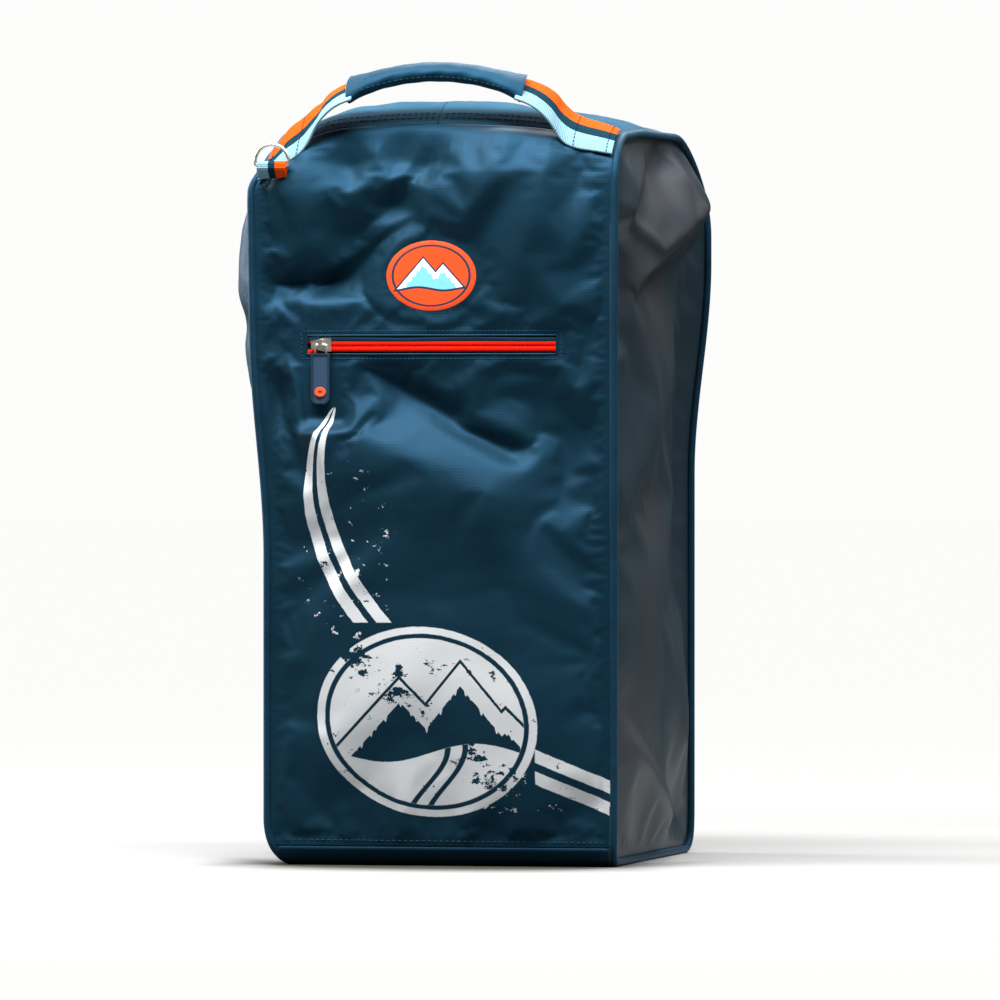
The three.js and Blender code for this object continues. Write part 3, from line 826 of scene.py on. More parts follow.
def top_relief(x, y):
    h = 2 * np.cos(np.clip(np.abs(x) / SEAM, 0, 1) * math.pi / 2)
    h += 1.8 * rumple(x, y, 31, 90, (1.0, 1.3), 40, 4)
    for row in (
            (20, 20, (-60, -90), (-20, 40), -3, 12, 12),
            (20, 20, (70, -80), (30, 50), -3, 12, 12)):
        h += crease(x, y, *row)
    return h * smooth(SEAM, SEAM - 30, np.abs(x)) * smooth(FRONT + 36, FRONT + 60, y)


def strip_points(path, spacing):
    """Evenly spaced (y, z) points along a profile and the outward normal at each."""
    points = resample(path, max(3, int(distances(np.array(path))[-1] / spacing)))
    along = np.gradient(points, axis=0)
    along /= np.linalg.norm(along, axis=1)[:, None]
    return points, np.stack([-along[:, 1], along[:, 0]], axis=1)


def wrap_grid(path, x0, x1, spacing, relief):
    """A fabric piece of the wrap as rows and columns of points, pushed out by relief(x, y, z)."""
    points, normals = strip_points(path, spacing)
    xs = np.linspace(x0, x1, max(3, int((x1 - x0) / spacing) + 1))
    x, i = np.meshgrid(xs, np.arange(len(points)))
    y, z = points[i, 0], points[i, 1]
    span = np.linspace(0, 1, len(points))[:, None]
    total = math.dist(path[0], path[-1]) + 1
    ends = smooth(0, 10 / total, span) * smooth(1, 1 - 10 / total, span)
    out = relief(x, y, z) * smooth(0, 16, SEAM - np.abs(x)) * ends
    return warp(np.stack([x, y + normals[i, 0] * out, z + normals[i, 1] * out], axis=-1))


def sheet_object(name, grid, material):
    made = new_object(name, grid.reshape(-1, 3), grid_faces(*grid.shape[:2]), material)
    outward(made)
    return made


def slab(name, near, far, material):
    """A closed body between two grids of points of the same size."""
    rows, columns = near.shape[:2]
    count = rows * columns
    faces = grid_faces(rows, columns) + [tuple(i + count for i in f)[::-1] for f in grid_faces(rows, columns)]
    rim = list(range(columns)) + [i * columns + columns - 1 for i in range(1, rows)]
    rim += [(rows - 1) * columns + j for j in range(columns - 2, -1, -1)]
    rim += [i * columns for i in range(rows - 2, 0, -1)]
    faces += [(a, b, b + count, a + count) for a, b in zip(rim, rim[1:] + rim[:1])]
    made = new_object(name, np.vstack([near.reshape(-1, 3), far.reshape(-1, 3)]), faces, material)
    fix_normals(made)
    return made


def outward(obj):
    """Turns a sheet's faces to point away from the bag's middle."""
    fix_normals(obj)
    middle = Vector((0, 0, TOP / 2)) * MM
    votes = sum(f.area * f.normal.dot(f.center - middle) for f in obj.data.polygons)
    if votes < 0:
        obj.data.flip_normals()


def round_off(radius, climb):
    """Half width of a circle at a height above its centre."""
    return np.sqrt(np.clip(radius ** 2 - np.clip(climb, 0, radius) ** 2, 0, None))


def outline_at(z):
    """Front and rear Y of the side outline at a height."""
    low = round_off(R_BASE, R_BASE - z)
    front_top = round_off(R_FRONT_TOP, z - TOP + R_FRONT_TOP)
    rear_top = round_off(R_REAR_TOP, z - TOP + R_REAR_TOP)
    front = FRONT + R_BASE - low + R_FRONT_TOP - front_top
    rear = BACK - R_BASE + low - R_REAR_TOP + rear_top
    return front, rear


def nearest_edge(a, b, a_low, a_high, b_low, b_high):
    """Distance to the nearest side of a rectangle from a point inside it."""
    return np.minimum(np.minimum(a - a_low, a_high - a), np.minimum(b_high - b, b - b_low))


def side_grid(sign, relief):
    """A side panel as rows of points from the front seam to the rear one."""
    low = R_BASE * (1 - np.cos(np.linspace(0, math.pi / 2, 8)))[:-1]
    high = TOP - R_FRONT_TOP * (1 - np.sin(np.linspace(0, math.pi / 2, 16)))[1:]
    z = np.concatenate([low, np.linspace(R_BASE, TOP - R_FRONT_TOP, 130), high])[:, None]
    front, rear = outline_at(z)
    y = front + (rear - front) * np.linspace(0, 1, 84)[None, :]
    z = z + 0 * y
    x = sign * (SEAM + relief(y, z) * smooth(0, 36, nearest_edge(y, z, front, rear, 0, TOP)))
    return warp(np.stack([x, y, z], axis=-1))


def coordinates(obj):
    return np.array([v.co for v in obj.data.vertices]) / MM


def set_coordinates(obj, points):
    obj.data.vertices.foreach_set("co", (points * MM).ravel())
    obj.data.update()


def run_cloth(obj, frames, cap_mm, held=None, **settings):
    """Cloth simulation with its result applied; no point ends further than cap_mm from where it started."""
    rest = coordinates(obj)
    cloth = modifier(obj, "CLOTH")
    if held is not None:
        group = obj.vertex_groups.new(name="held")
        levels = np.round(held(rest), 2)
        for level in np.unique(levels):
            group.add([int(i) for i in np.flatnonzero(levels == level)], float(level), "REPLACE")
        cloth.settings.vertex_group_mass = "held"
    cloth.settings.quality = 5
    cloth.settings.use_pressure = True
    cloth.settings.effector_weights.gravity = 0.0
    for key, value in settings.items():
        setattr(cloth.settings, key, value)
    cloth.collision_settings.use_collision = False
    cloth.point_cache.frame_end = frames + 1
    for number in range(1, frames + 1):
        bpy.context.scene.frame_set(number)
    apply_all(obj)
    bpy.context.scene.frame_set(1)
    shift = coordinates(obj) - rest
    size = np.linalg.norm(shift, axis=1)[:, None]
    shift *= np.minimum(1.0, cap_mm * np.tanh(size / cap_mm) / np.maximum(size, 1e-6))
    set_coordinates(obj, rest + shift)


def slacken(obj, held, slack, push, frames, cap_mm, bending=1.5):
    """Lets a fabric sheet crumple as one a little larger than the space it is sewn into."""
    run_cloth(obj, frames, cap_mm, held, tension_stiffness=30, compression_stiffness=30, shear_stiffness=20,
              bending_stiffness=bending, tension_damping=15, compression_damping=15, shear_damping=15,
              shrink_min=-slack, uniform_pressure_force=push)


def thicken(obj, thickness_mm=1.4):
    """Gives a sheet its thickness and a coated lining on its inner side."""
    subdivide(obj)
    obj.data.materials.append(MATERIALS["lining"])
    modifier(obj, "SOLIDIFY", thickness=thickness_mm * MM, offset=-1.0, material_offset=1)
    return obj


def surface(obj):
    """A tree for finding points on the finished surface of an object."""
    return BVHTree.FromObject(obj, bpy.context.evaluated_depsgraph_get())


def drape(tree, origin, direction):
    """Where a ray in millimetres meets the surface, and the normal there."""
    spot, normal, _, _ = tree.ray_cast(Vector(origin) * MM, Vector(direction))
    return np.array(spot) / MM, np.array(normal)


def on_front(x, z):
    spot, normal = drape(front_tree, (x, FRONT - 60, z), (0, 1, 0))
    return spot, normal * (1 if normal[1] < 0 else -1)


# ---- Fabric of the shell ------------------------------------------------------------------------

SLOT_LOW, SLOT_HIGH = ZIP_Z - 7.0, ZIP_Z + 7.0


def held_front(p):
    """Sewn edges, the pocket zip and the badge hold the front fabric."""
    x, z = p[:, 0], p[:, 2]
    left_edge = smooth(-114, -121, x) * smooth(400, 330, z)  # where it has slumped inwards
    badge_area = 0.97 * (np.hypot(x / 36, (z - BADGE_Z) / 28) < 1)
    tab_area = 0.97 * near_tab(x, z, 22, 322)
    seams = [smooth(9, 3, SEAM - np.abs(x)), smooth(22, 16, z), smooth(TOP - 14, TOP - 6, z),
             smooth(FRONT + 10, FRONT + 16, p[:, 1])]
    return np.max([*seams, left_edge, near_zip(x, z, 15, 9, 14), badge_area, tab_area], axis=0)


def held_side(p):
    """The piping holds a side panel's edge."""
    front, rear = outline_at(np.clip(p[:, 2], 0, TOP))
    return smooth(16, 6, nearest_edge(p[:, 1], p[:, 2], front, rear, 0, TOP))


def build_front():
    grid = wrap_grid(PATHS["front"], -SEAM, SEAM, 2.6, lambda x, y, z: front_relief(x, z))
    middle = grid.shape[1] // 2
    rows = [int(np.argmin(np.abs(grid[:, middle, 2] - z))) for z in (SLOT_LOW, SLOT_HIGH)]
    columns = [int(np.argmin(np.abs(grid[rows[0], :, 0] - x))) for x in (ZIP_LEFT, ZIP_RIGHT)]
    for row, z in zip(rows, (SLOT_LOW, SLOT_HIGH)):
        grid[row, columns[0]:columns[1] + 1, 2] = z
    for column, x in zip(columns, (ZIP_LEFT, ZIP_RIGHT)):
        grid[rows[0]:rows[1] + 1, column, 0] = x
    made = sheet_object("front_fabric", grid, MATERIALS["printed"])
    slacken(made, held_front, 0.02, 0.25, 20, 7.0, 8.0)
    across = grid.shape[1] - 1
    with editing(made) as bm:
        hole = [bm.faces[i * across + j] for i in range(*rows) for j in range(*columns)]
        bmesh.ops.delete(bm, geom=hole, context="FACES")
    return place(thicken(made), "bag", ["front_panel"])


front_sheet = build_front()
front_tree = surface(front_sheet)

tops = {}
for side, x0, x1 in (("left", -SEAM, -0.2), ("right", 0.2, SEAM)):
    grid = wrap_grid(PATHS["top"], x0, x1, 3.2, lambda x, y, z: top_relief(x, y))
    tops[side] = place(thicken(sheet_object(f"top_{side}_fabric", grid, MATERIALS["top_weave_painted_light"])),
                       "bag", [f"top_panel_{side}"])

for name, node, path, spacing, relief in (
        ("back_yoke_fabric", "back_yoke", "yoke", 4.0, lambda x, y, z: 2.0 * rumple(x, z, 41, 80) + 2),
        ("base_fabric", "base_panel", "base", 5.0, lambda x, y, z: 0 * x)):
    grid = wrap_grid(PATHS[path], -SEAM, SEAM, spacing, relief)
    place(thicken(sheet_object(name, grid, MATERIALS["weave"])), "bag", [node])

for side, sign, relief, look, slot in (("left", -1, left_relief, "weave", "navy_weave"),
                                       ("right", 1, right_relief, "tarpaulin", "grey_tarpaulin")):
    panel = sheet_object(f"side_{side}_fabric", side_grid(sign, relief), MATERIALS[look])
    slacken(panel, held_side, 0.007, 0.2, 16, 5.0, 10.0)
    place(thicken(panel), "bag", [f"side_panel_{side}"])

PIPING = 5.8  # diameter
PIPING_INSET = 1.0 - 2.0 / 300
outline = resample([(y, z) for key in ("front", "top", "yoke", "surround", "base") for y, z in PATHS[key]],
                   420, closed=True)
centre = (FRONT + BACK) / 2
for side, sign in SIDES:
    points = [(sign * (SEAM + 1.8), centre + (y - centre) * PIPING_INSET, PIPING / 2 + z * PIPING_INSET)
              for y, z in outline]
    strip(f"piping_{side}_tube", warp(np.array(points)), (1, 0, 0), ellipse_section(PIPING, PIPING, 12),
          "piping", "bag", [f"piping_{side}"], closed=True)


# ---- Stitching ----------------------------------------------------------------------------------

def stitches(name, lines, body, look="thread", length=3.0, gap=1.5, radius=0.36):
    """Rows of separate thread stitches. Each line is a list of (point, normal) along a seam."""
    points, faces = [], []
    for line in lines:
        spots = np.array([p for p, _ in line])
        normals = np.array([n for _, n in line])
        run = distances(spots)

        def at(where, values=spots, run=run):
            return np.array([np.interp(where, run, values[:, k]) for k in range(3)])

        for start in np.arange(0.5, run[-1] - length, length + gap):
            rings = []
            for share, size, lift in ((0, 0.3, -0.3), (0.15, 0.9, 0.25), (0.5, 1.0, 0.45), (0.85, 0.9, 0.25),
                                      (1, 0.3, -0.3)):
                middle = start + share * length
                up = at(middle, normals)
                side = np.cross(up, at(middle + 0.6) - at(middle - 0.6))
                side /= np.linalg.norm(side) + 1e-9
                rings.append([at(middle) + up * (lift * radius + radius * size * math.sin(a))
                              + side * radius * size * math.cos(a)
                              for a in np.arange(6) * math.pi / 3])
            first = len(points)
            points += [p for ring in rings for p in ring]
            faces += [tuple(first + i for i in f) for f in grid_faces(5, 6, wrap_columns=True)]
    made = new_object(name, points, faces, MATERIALS[look])
    fix_normals(made)
    return place(made, body)


def front_line(points, count):
    return [on_front(x, z) for x, z in resample(points, count)]


def surface_line(obj, points, direction, count):
    """A seam dropped onto an object's surface along direction."""
    tree = surface(obj)
    line = []
    for point in resample(points, count):
        spot, normal = drape(tree, point, direction)
        line.append((spot, normal if normal.dot(direction) < 0 else -normal))
    return line


left, right = ZIP_LEFT - 3.5, ZIP_RIGHT + 3.5
low, high = SLOT_LOW - 3.2, SLOT_HIGH + 3.2
stitches("pocket_stitches", [
    front_line([(left, high), (right, high)], 140), front_line([(left, low), (right, low)], 140),
    front_line([(left, low), (left, high)], 16), front_line([(right, low), (right, high)], 16),
], "bag", length=2.2, gap=1.0, radius=0.3)
stitches("base_seam_stitches", [front_line([(-112, 19), (131, 18)], 160)], "bag")
for side, x0, x1 in (("left", -92, -3), ("right", 3, 92)):
    rows = [surface_line(tops[side], [(x0, y, 640), (x1, y, 640)], np.array([0, 0, -1.0]), 60)
            for y in (FRONT + 25, FRONT + 30)]
    stitches(f"top_{side}_stitches", rows, "bag")


# ---- Front pocket: welts, zip, slider and pull --------------------------------------------------

def coil_strand(name, centres, body, look, replaces, across=(0, 0, 1), width=3.9, height=2.2):
    """One side of a coil zip: a strand whose turns show as small ridges."""
    pitch = 1.5
    total = distances(np.array(centres, float))[-1]
    path = resample(centres, int(total / pitch * 4))
    section = ellipse_section(width, height, 10)

    def turns(share):
        swell = 1 + 0.10 * math.sin(2 * math.pi * share * total / pitch)
        return [(a * swell, b * swell) for a, b in section]

    return strip(name, path, across, turns, look, body, replaces)


zip_y = FRONT + 0.9
for side, sign in (("upper", 1), ("lower", -1)):
    # The two halves part at the left, behind the open slider
    knots = [(ZIP_LEFT + 0.5, 0.4, 4.6), (ZIP_LEFT + 6, 0, 3.6), (ZIP_LEFT + 14, 0, 2.15),
             (ZIP_LEFT + 30, 0, 2.1), (0, 0, 2.1), (ZIP_RIGHT - 0.5, 0, 2.1)]
    strand = spline([(x, zip_y + back, ZIP_Z + sign * apart) for x, back, apart in knots], 240)
    coil_strand(f"pocket_coil_{side}", strand - np.array([0, 0, 1.0]), "bag", "coil", [f"pocket_zip_{side}"])
    tape = [(x, zip_y + 1.5, ZIP_Z + sign * 3.4) for x in np.linspace(ZIP_LEFT - 3, ZIP_RIGHT + 3, 60)]
    strip(f"pocket_tape_{side}", tape, (0, 0, 1), band_section(8.6, 0.7, 6), "tape", "bag")
welt = [(x, FRONT + 0.5, SLOT_HIGH - 3.0 + 0.3 * math.sin(x / 17))
        for x in np.linspace(ZIP_LEFT, ZIP_RIGHT, 80)]
strip("pocket_welt", welt, (0, 0, 1), band_section(3.0, 1.2, 4), "weave", "bag")
corners = ((ZIP_LEFT, SLOT_LOW), (ZIP_RIGHT, SLOT_LOW), (ZIP_RIGHT, SLOT_HIGH), (ZIP_LEFT, SLOT_HIGH))
rim = resample([(x, FRONT + 0.4, z) for x, z in corners], 220, closed=True)
strip("pocket_slot_fold", rim, (0, 1, 0), ellipse_section(1.9, 1.7, 8), "weave", "bag",
      closed=True)


def finish_node(node, look, bevel_mm):
    """A CAD piece shown as it is, with softened edges and its own material."""
    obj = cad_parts[node]
    obj.data.materials.clear()
    obj.data.materials.append(MATERIALS[look])
    smooth_faces(obj)
    bevel(obj, bevel_mm, 35, 3)
    modifier(obj, "WEIGHTED_NORMAL")


def prism(name, loop, front_y, rear_y, look, body, replaces, bevel_mm, recess=None):
    """A plate whose outline is loop in the XZ plane. recess (inset, depth, material) sinks its front face."""
    n = len(loop)
    points = [(x, front_y, z) for x, z in loop] + [(x, rear_y, z) for x, z in loop]
    faces = [tuple(range(n)), tuple(range(n, 2 * n))[::-1]]
    faces += [(i, i + n, (i + 1) % n + n, (i + 1) % n) for i in range(n)]
    made = new_object(name, points, faces, MATERIALS[look])
    fix_normals(made)
    if recess:
        inset, depth, inner = recess
        made.data.materials.append(MATERIALS[inner])
        with editing(made) as bm:
            face = min((f for f in bm.faces if len(f.verts) == n),
                       key=lambda f: abs(f.calc_center_median().y / MM - front_y))
            bmesh.ops.inset_individual(bm, faces=[face], thickness=inset * MM, depth=0)
            bmesh.ops.inset_individual(bm, faces=[face], thickness=0.25 * MM, depth=-depth * MM)
            face.material_index = 1
    bevel(made, bevel_mm, 40, 3)
    modifier(made, "WEIGHTED_NORMAL")
    return place(made, body, replaces)


def rounded(x0, z0, x1, z1, low_radius, high_radius, steps=8):
    """Rounded rectangle in the XZ plane."""
    low, high = low_radius, high_radius
    return (arc(x1 - low, z0 + low, low, -90, 0, steps) + arc(x1 - high, z1 - high, high, 0, 90, steps)
            + arc(x0 + high, z1 - high, high, 90, 180, steps) + arc(x0 + low, z0 + low, low, 180, 270, steps))


def pull(prefix, body, facing, button):
    """Moulded tab with a raised rim and, on the pocket, an oval button."""
    low, high = box_mm(f"{prefix}_pull_tab")
    front_y, rear_y = (low.y, high.y) if facing < 0 else (high.y, low.y)
    wire_low, _ = box_mm(f"{prefix}_pull_wire")
    loop = rounded(low.x, low.z, high.x, wire_low.z + 2.6, 5.0, 1.8)
    prism(f"{prefix}_pull_moulding", loop, front_y, rear_y, "rubber", body,
          [f"{prefix}_pull_tab"], 0.6, (1.5, 0.55, "rubber_face"))
    if button:
        cx, cz = (low.x + high.x) / 2, low.z + 9
        oval = [(cx + 4.3 * x, cz + 3.6 * z) for x, z in arc(0, 0, 1, 0, 352.5, 47)]
        prism("pocket_pull_button", oval, front_y - 0.5, front_y + 0.3, "orange",
              body, ["pocket_pull_badge"], 0.25, (2.5, 0.2, "rubber"))


def slider_set(prefix, pull_body, facing, button=False):
    finish_node(f"{prefix}_slider", "nickel", 0.6)
    low, high = box_mm(f"{prefix}_pull_wire")
    y = (low.y + high.y) / 2
    loop = [(x, y, z) for x, z in rounded(low.x + 0.8, low.z + 0.8, high.x - 0.8, high.z - 0.8, 1.8, 1.8, 6)]
    strip(f"{prefix}_pull_loop", resample(loop, 72, closed=True), (0, 1, 0), ellipse_section(1.6, 1.6, 10),
          "nickel", pull_body, [f"{prefix}_pull_wire"], closed=True)
    pull(prefix, pull_body, facing, button)


slider_set("pocket", "pocket_pull", -1, button=True)


def build_badge():
    """Oval transfer lying on the fabric, thin at its rim."""
    rings, around = 14, 72
    points = []
    for i in range(rings + 1):
        share = i / rings
        for j in range(around):
            a = 2 * math.pi * j / around
            spot, normal = on_front(BADGE_X + BADGE_HALF_WIDTH * share * math.cos(a),
                                    BADGE_Z + BADGE_HALF_HEIGHT * share * math.sin(a))
            points.append(spot + normal * (0.1 if i == rings else 0.55))
    made = new_object("front_badge_print", points, grid_faces(rings + 1, around, wrap_columns=True),
                      MATERIALS["badge"])
    with editing(made) as bm:
        bmesh.ops.remove_doubles(bm, verts=bm.verts, dist=0.05 * MM)
    outward(made)
    subdivide(made)
    return place(made, "bag", ["front_badge"])


build_badge()


# ---- Carrying handle, its ring and tab ----------------------------------------------------------

grip_low, grip_high = box_mm("handle_grip")
SLOPE = math.radians(25)
WEB_WIDTH, WEB_THICK = 38.0, 1.8
GRIP_RISE, GRIP_SAG = 46.0, 13.0
REACH = R_FRONT_TOP + 2.6
FOOT_Y = FRONT + R_FRONT_TOP - (R_FRONT_TOP + 1.2) * math.sin(SLOPE)
FOOT_Z = TOP - R_FRONT_TOP + (R_FRONT_TOP + 1.2) * math.cos(SLOPE)


def handle_point(x, rise):
    return np.array([x, FOOT_Y - 0.2 * rise, FOOT_Z + rise])


def webbing_grid(sign):
    """Sewn end wrapped over the rounded edge, then the free part rising into the grip and flattening out."""
    path = spline([(134, 0), (122, 0), (108, 0), (99, 2), (94, 7), (91, 13), (87, 19), (80, 25), (72, 29.5),
                   (62, 33)], 76)
    rows = []
    for x, rise in path:
        free = smooth(0, 16, rise)
        stand = (0.85 if sign < 0 else 0.15) * smooth(146, 118, x)
        middle = SLOPE + math.radians(6 + 5 * smooth(90, 126, x) * (sign < 0))
        tilt = SLOPE + math.radians(8) * (1 - smooth(16, 33, rise))
        row = []
        for a in np.linspace(-WEB_WIDTH / 2, WEB_WIDTH / 2, 17):
            # The rear half of the left end stands off the fabric
            lifted = stand * max(a, 0)
            angle = middle - (a - lifted) / REACH
            lift_angle = angle + 0.3
            y = FRONT + R_FRONT_TOP - REACH * math.sin(angle) + lifted * math.cos(lift_angle)
            z = TOP - R_FRONT_TOP + REACH * math.cos(angle) + lifted * math.sin(lift_angle)
            curved = warp(np.array([sign * x, y, z])) + np.array([0, -0.2 * rise, rise])
            cup = 1.2 * math.cos(math.pi * a / WEB_WIDTH) * smooth(10, 33, rise)
            flat = handle_point(sign * x, rise) + np.array([0, a * math.cos(tilt), a * math.sin(tilt) + cup])
            row.append(curved * (1 - free) + flat * free)
        rows.append(row)
    return np.array(rows)


for side, sign in SIDES:
    grid = webbing_grid(sign)
    rows, columns = grid.shape[:2]
    run = distances(grid[:, columns // 2])
    across_values = np.tile(np.linspace(-WEB_WIDTH / 2, WEB_WIDTH / 2, columns), rows) * MM
    band = new_object(f"handle_webbing_{side}", grid.reshape(-1, 3), grid_faces(rows, columns),
                      MATERIALS["webbing"], {"across": across_values, "along": np.repeat(run, columns) * MM})
    outward(band)
    modifier(band, "SOLIDIFY", thickness=WEB_THICK * MM, offset=0.0)
    bevel(band, 0.5, 50)
    apply_all(band)
    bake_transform(band)
    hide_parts(f"handle_end_{side}", f"handle_riser_{side}")
    seam_rows = [int(np.argmin(np.abs(np.abs(grid[:, 0, 0]) - x))) for x in (104, 130)]
    lines = []
    for r in seam_rows:
        ahead = grid[r + 1] - grid[r]
        normals = np.cross(np.gradient(grid[r], axis=0), ahead)
        normals /= np.linalg.norm(normals, axis=1)[:, None]
        normals *= np.sign(normals[:, 2])[:, None]
        lines.append([(p + n * 1.1, n) for p, n in zip(grid[r], normals)])
    stitches(f"handle_stitches_{side}", lines, "bag", "dark_thread", length=2.6, gap=0.9, radius=0.34)


def build_grip():
    """Fabric rolled round the webbing, wide and flat at its ends, with a lapped seam along its underside."""
    count, around = 96, 28
    half = (grip_high.x - grip_low.x) / 2
    rows = []
    for i in range(count):
        share = 2 * i / (count - 1) - 1
        flare = abs(share) ** 3.5
        width, height = 23.0 + 9.0 * flare, 14.0 - 1.0 * flare
        tilt = SLOPE / 2 + math.radians(26) * flare
        centre = handle_point(share * half, GRIP_RISE - GRIP_SAG * share ** 2)
        slope = -2 * GRIP_SAG * share / half
        along = np.array([1, -0.2 * slope, slope])
        along /= np.linalg.norm(along)
        across = np.array([0, math.cos(tilt), math.sin(tilt)])
        up = np.cross(along, across)
        row = []
        for j in range(around):
            a = 2 * math.pi * j / around
            crinkle = 0.012 * math.sin(7 * a + 9 * share) * (1 - flare) + 0.02 * math.sin(23 * share + 3 * a)
            lap = 1 + 0.06 * smooth(0.5, 0.0, abs(a - 4.25))
            offset = across * math.cos(a) * width / 2 + up * math.sin(a) * height / 2
            row.append(centre + offset * (1 + crinkle) * lap)
        rows.append(row)
    # The ends turn in over the webbing
    for end, inner in ((0, 1), (-1, -2)):
        ring = np.array(rows[end])
        middle = ring.mean(axis=0)
        inward = np.array(rows[inner]).mean(axis=0) - middle
        tucked = [middle + (p - middle) * 0.72 + inward * 2.0 for p in ring]
        rows = [tucked] + rows if end == 0 else rows + [tucked]
    points = np.array(rows).reshape(-1, 3)
    made = new_object("handle_grip_wrap", points, grid_faces(len(rows), around, wrap_columns=True),
                      MATERIALS["grip"])
    fix_normals(made)
    subdivide(made)
    return place(made, "handle", ["handle_grip"])


grip = build_grip()
seam = [(x, FOOT_Y - 60, FOOT_Z + GRIP_RISE - 4 - GRIP_SAG * (x / 64) ** 2) for x in range(-56, 57, 4)]
stitches("grip_stitches", [surface_line(grip, seam, np.array([0, 1.0, 0]), 110)], "handle",
         gap=1.4, radius=0.3)

ring_low, ring_high = box_mm("ring")
ring_x, ring_y, ring_z = (ring_low.x + ring_high.x) / 2, (ring_low.y + ring_high.y) / 2, ring_low.z + 1.5
RING_RADIUS, RING_WIRE = 12.6, 2.7
bar = [(-RING_RADIUS, 3.0), (-RING_RADIUS, 1.4), (-11.4, 0.2), (-9.6, 0)]
bend = bar + [(-x, z) for x, z in reversed(bar)] + arc(0, 3, RING_RADIUS, 10, 170, 16)
loop = resample([(ring_x + a, ring_y, ring_z + b) for a, b in bend], 96, closed=True)
strip("handle_ring", loop, (0, 1, 0), ellipse_section(RING_WIRE, RING_WIRE, 14), "nickel", "ring",
      ["ring"], closed=True)


def build_ring_tab():
    """Short webbing folded round the ring's bar, its two legs running back to the fabric."""
    seat, _ = on_front(ring_x + 6, ring_z - 10)
    radius = 2.5
    profile = [(seat[1] + 1.0, ring_z - 9.0), (ring_y + 1.0, ring_z - 6.5), (ring_y - radius, ring_z - 3)]
    profile += arc(ring_y, ring_z, radius, 180, 0, 9)
    profile += [(ring_y + radius + 1, ring_z - 3), (seat[1] + 1.0, ring_z - 5)]
    path = spline([(ring_x, y, z) for y, z in profile], 60)
    strip("ring_tab_webbing", path, (1, 0, 0), band_section(22, 1.5, 12), "tab_webbing", "bag",
          ["ring_tab"])


build_ring_tab()


# ---- Back: surround, door, zip, pads and straps -------------------------------------------------

door_low, door_high = box_mm("back_door_panel")
DOOR_HALF, DOOR_BOTTOM, DOOR_TOP = door_high.x, door_low.z, door_high.z
ARCH_REACH = box_mm("door_zip_outer")[1].x - DOOR_HALF
OUTSIDE = BACK + 0.3


def arch_loop(reach, count):
    """Closed outline of the door grown by reach: square below, round above."""
    half, top, r = DOOR_HALF + reach, DOOR_TOP + reach, DOOR_RADIUS + reach
    loop = [(-half, DOOR_BOTTOM), (-half, top - r)]
    loop += arc(r - half, top - r, r, 180, 90, 10) + arc(half - r, top - r, r, 90, 0, 10)
    loop += [(half, DOOR_BOTTOM)]
    return resample(loop, count, closed=True)


def build_surround():
    """Fabric between the door's zip and the seams round the back."""
    count, rings = 320, 7
    inner = arch_loop(ARCH_REACH + 0.4, count)
    middle = np.array([0, (R_BASE + TOP - R_REAR_TOP) / 2])
    half = np.array([SEAM, (TOP - R_REAR_TOP - R_BASE) / 2])
    bounds_low, bounds_high = inner.min(axis=0), inner.max(axis=0)
    unit = (inner - (bounds_low + bounds_high) / 2) / ((bounds_high - bounds_low) / 2)
    rim = middle + unit / np.abs(unit).max(axis=1)[:, None] * half
    rows = []
    for i in range(rings):
        flat = inner + (rim - inner) * i / (rings - 1)
        relief = 1.2 * rumple(flat[:, 0], flat[:, 1], 53, 70, octaves=3) - 1.2
        relief = np.minimum(relief, 0) * math.sin(math.pi * i / (rings - 1))
        rows.append(np.stack([flat[:, 0], BACK + relief, flat[:, 1]], axis=1))
    points = warp(np.array(rows)).reshape(-1, 3)
    made = new_object("back_surround_fabric", points, grid_faces(rings, count, wrap_columns=True),
                      MATERIALS["weave"])
    outward(made)
    place(thicken(made), "bag", ["back_surround"])


def build_door():
    z = np.linspace(DOOR_BOTTOM, DOOR_TOP, 104)[:, None]
    half = DOOR_HALF - DOOR_RADIUS + round_off(DOOR_RADIUS, z - DOOR_TOP + DOOR_RADIUS)
    x = half * np.linspace(-1, 1, 64)[None, :]
    z = z + 0 * x
    edge = nearest_edge(x, z, -half, half, DOOR_BOTTOM, DOOR_TOP)
    sink = 1.0 + 0.9 * rumple(x, z, 61, 80, octaves=4)
    y = BACK - np.clip(sink, 0, 3) * smooth(0, 14, edge)
    made = sheet_object("back_door_fabric", np.stack([x, y, z], axis=-1), MATERIALS["weave"])
    place(thicken(made, 1.8), "back_door", ["back_door_panel"])


build_surround()
build_door()
for name, reach, body in (("inner", 2.0, "back_door"), ("outer", 5.7, "bag")):
    path = [(x, BACK + 0.1, z) for x, z in arch_loop(reach, 700)]
    # Open along the hinge
    path = [p for p in path if p[2] > DOOR_BOTTOM + 1 or abs(p[0]) > DOOR_HALF - 1]
    start = max(range(len(path)), key=lambda i: math.dist(path[i], path[i - 1]))
    path = path[start:] + path[:start]
    coil_strand(f"door_coil_{name}", path, body, "dark_coil", [f"door_zip_{name}"],
                across=(0.0001, 1, 0.0001), width=2.4, height=3.5)

hinge = np.array([[(x, BACK - 0.6 + 0.8 * math.sin(math.pi * j / 8), DOOR_BOTTOM - 8 + 2 * j)
                   for x in np.linspace(-DOOR_HALF, DOOR_HALF, 50)] for j in range(9)])
hinge_strip = sheet_object("door_hinge_fabric", hinge, MATERIALS["weave"])
modifier(hinge_strip, "SOLIDIFY", thickness=1.0 * MM, offset=-1.0)
apply_all(hinge_strip)
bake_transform(hinge_strip)

for side, _ in SIDES:
    slider_set(f"door_{side}", f"door_{side}_pull", 1)


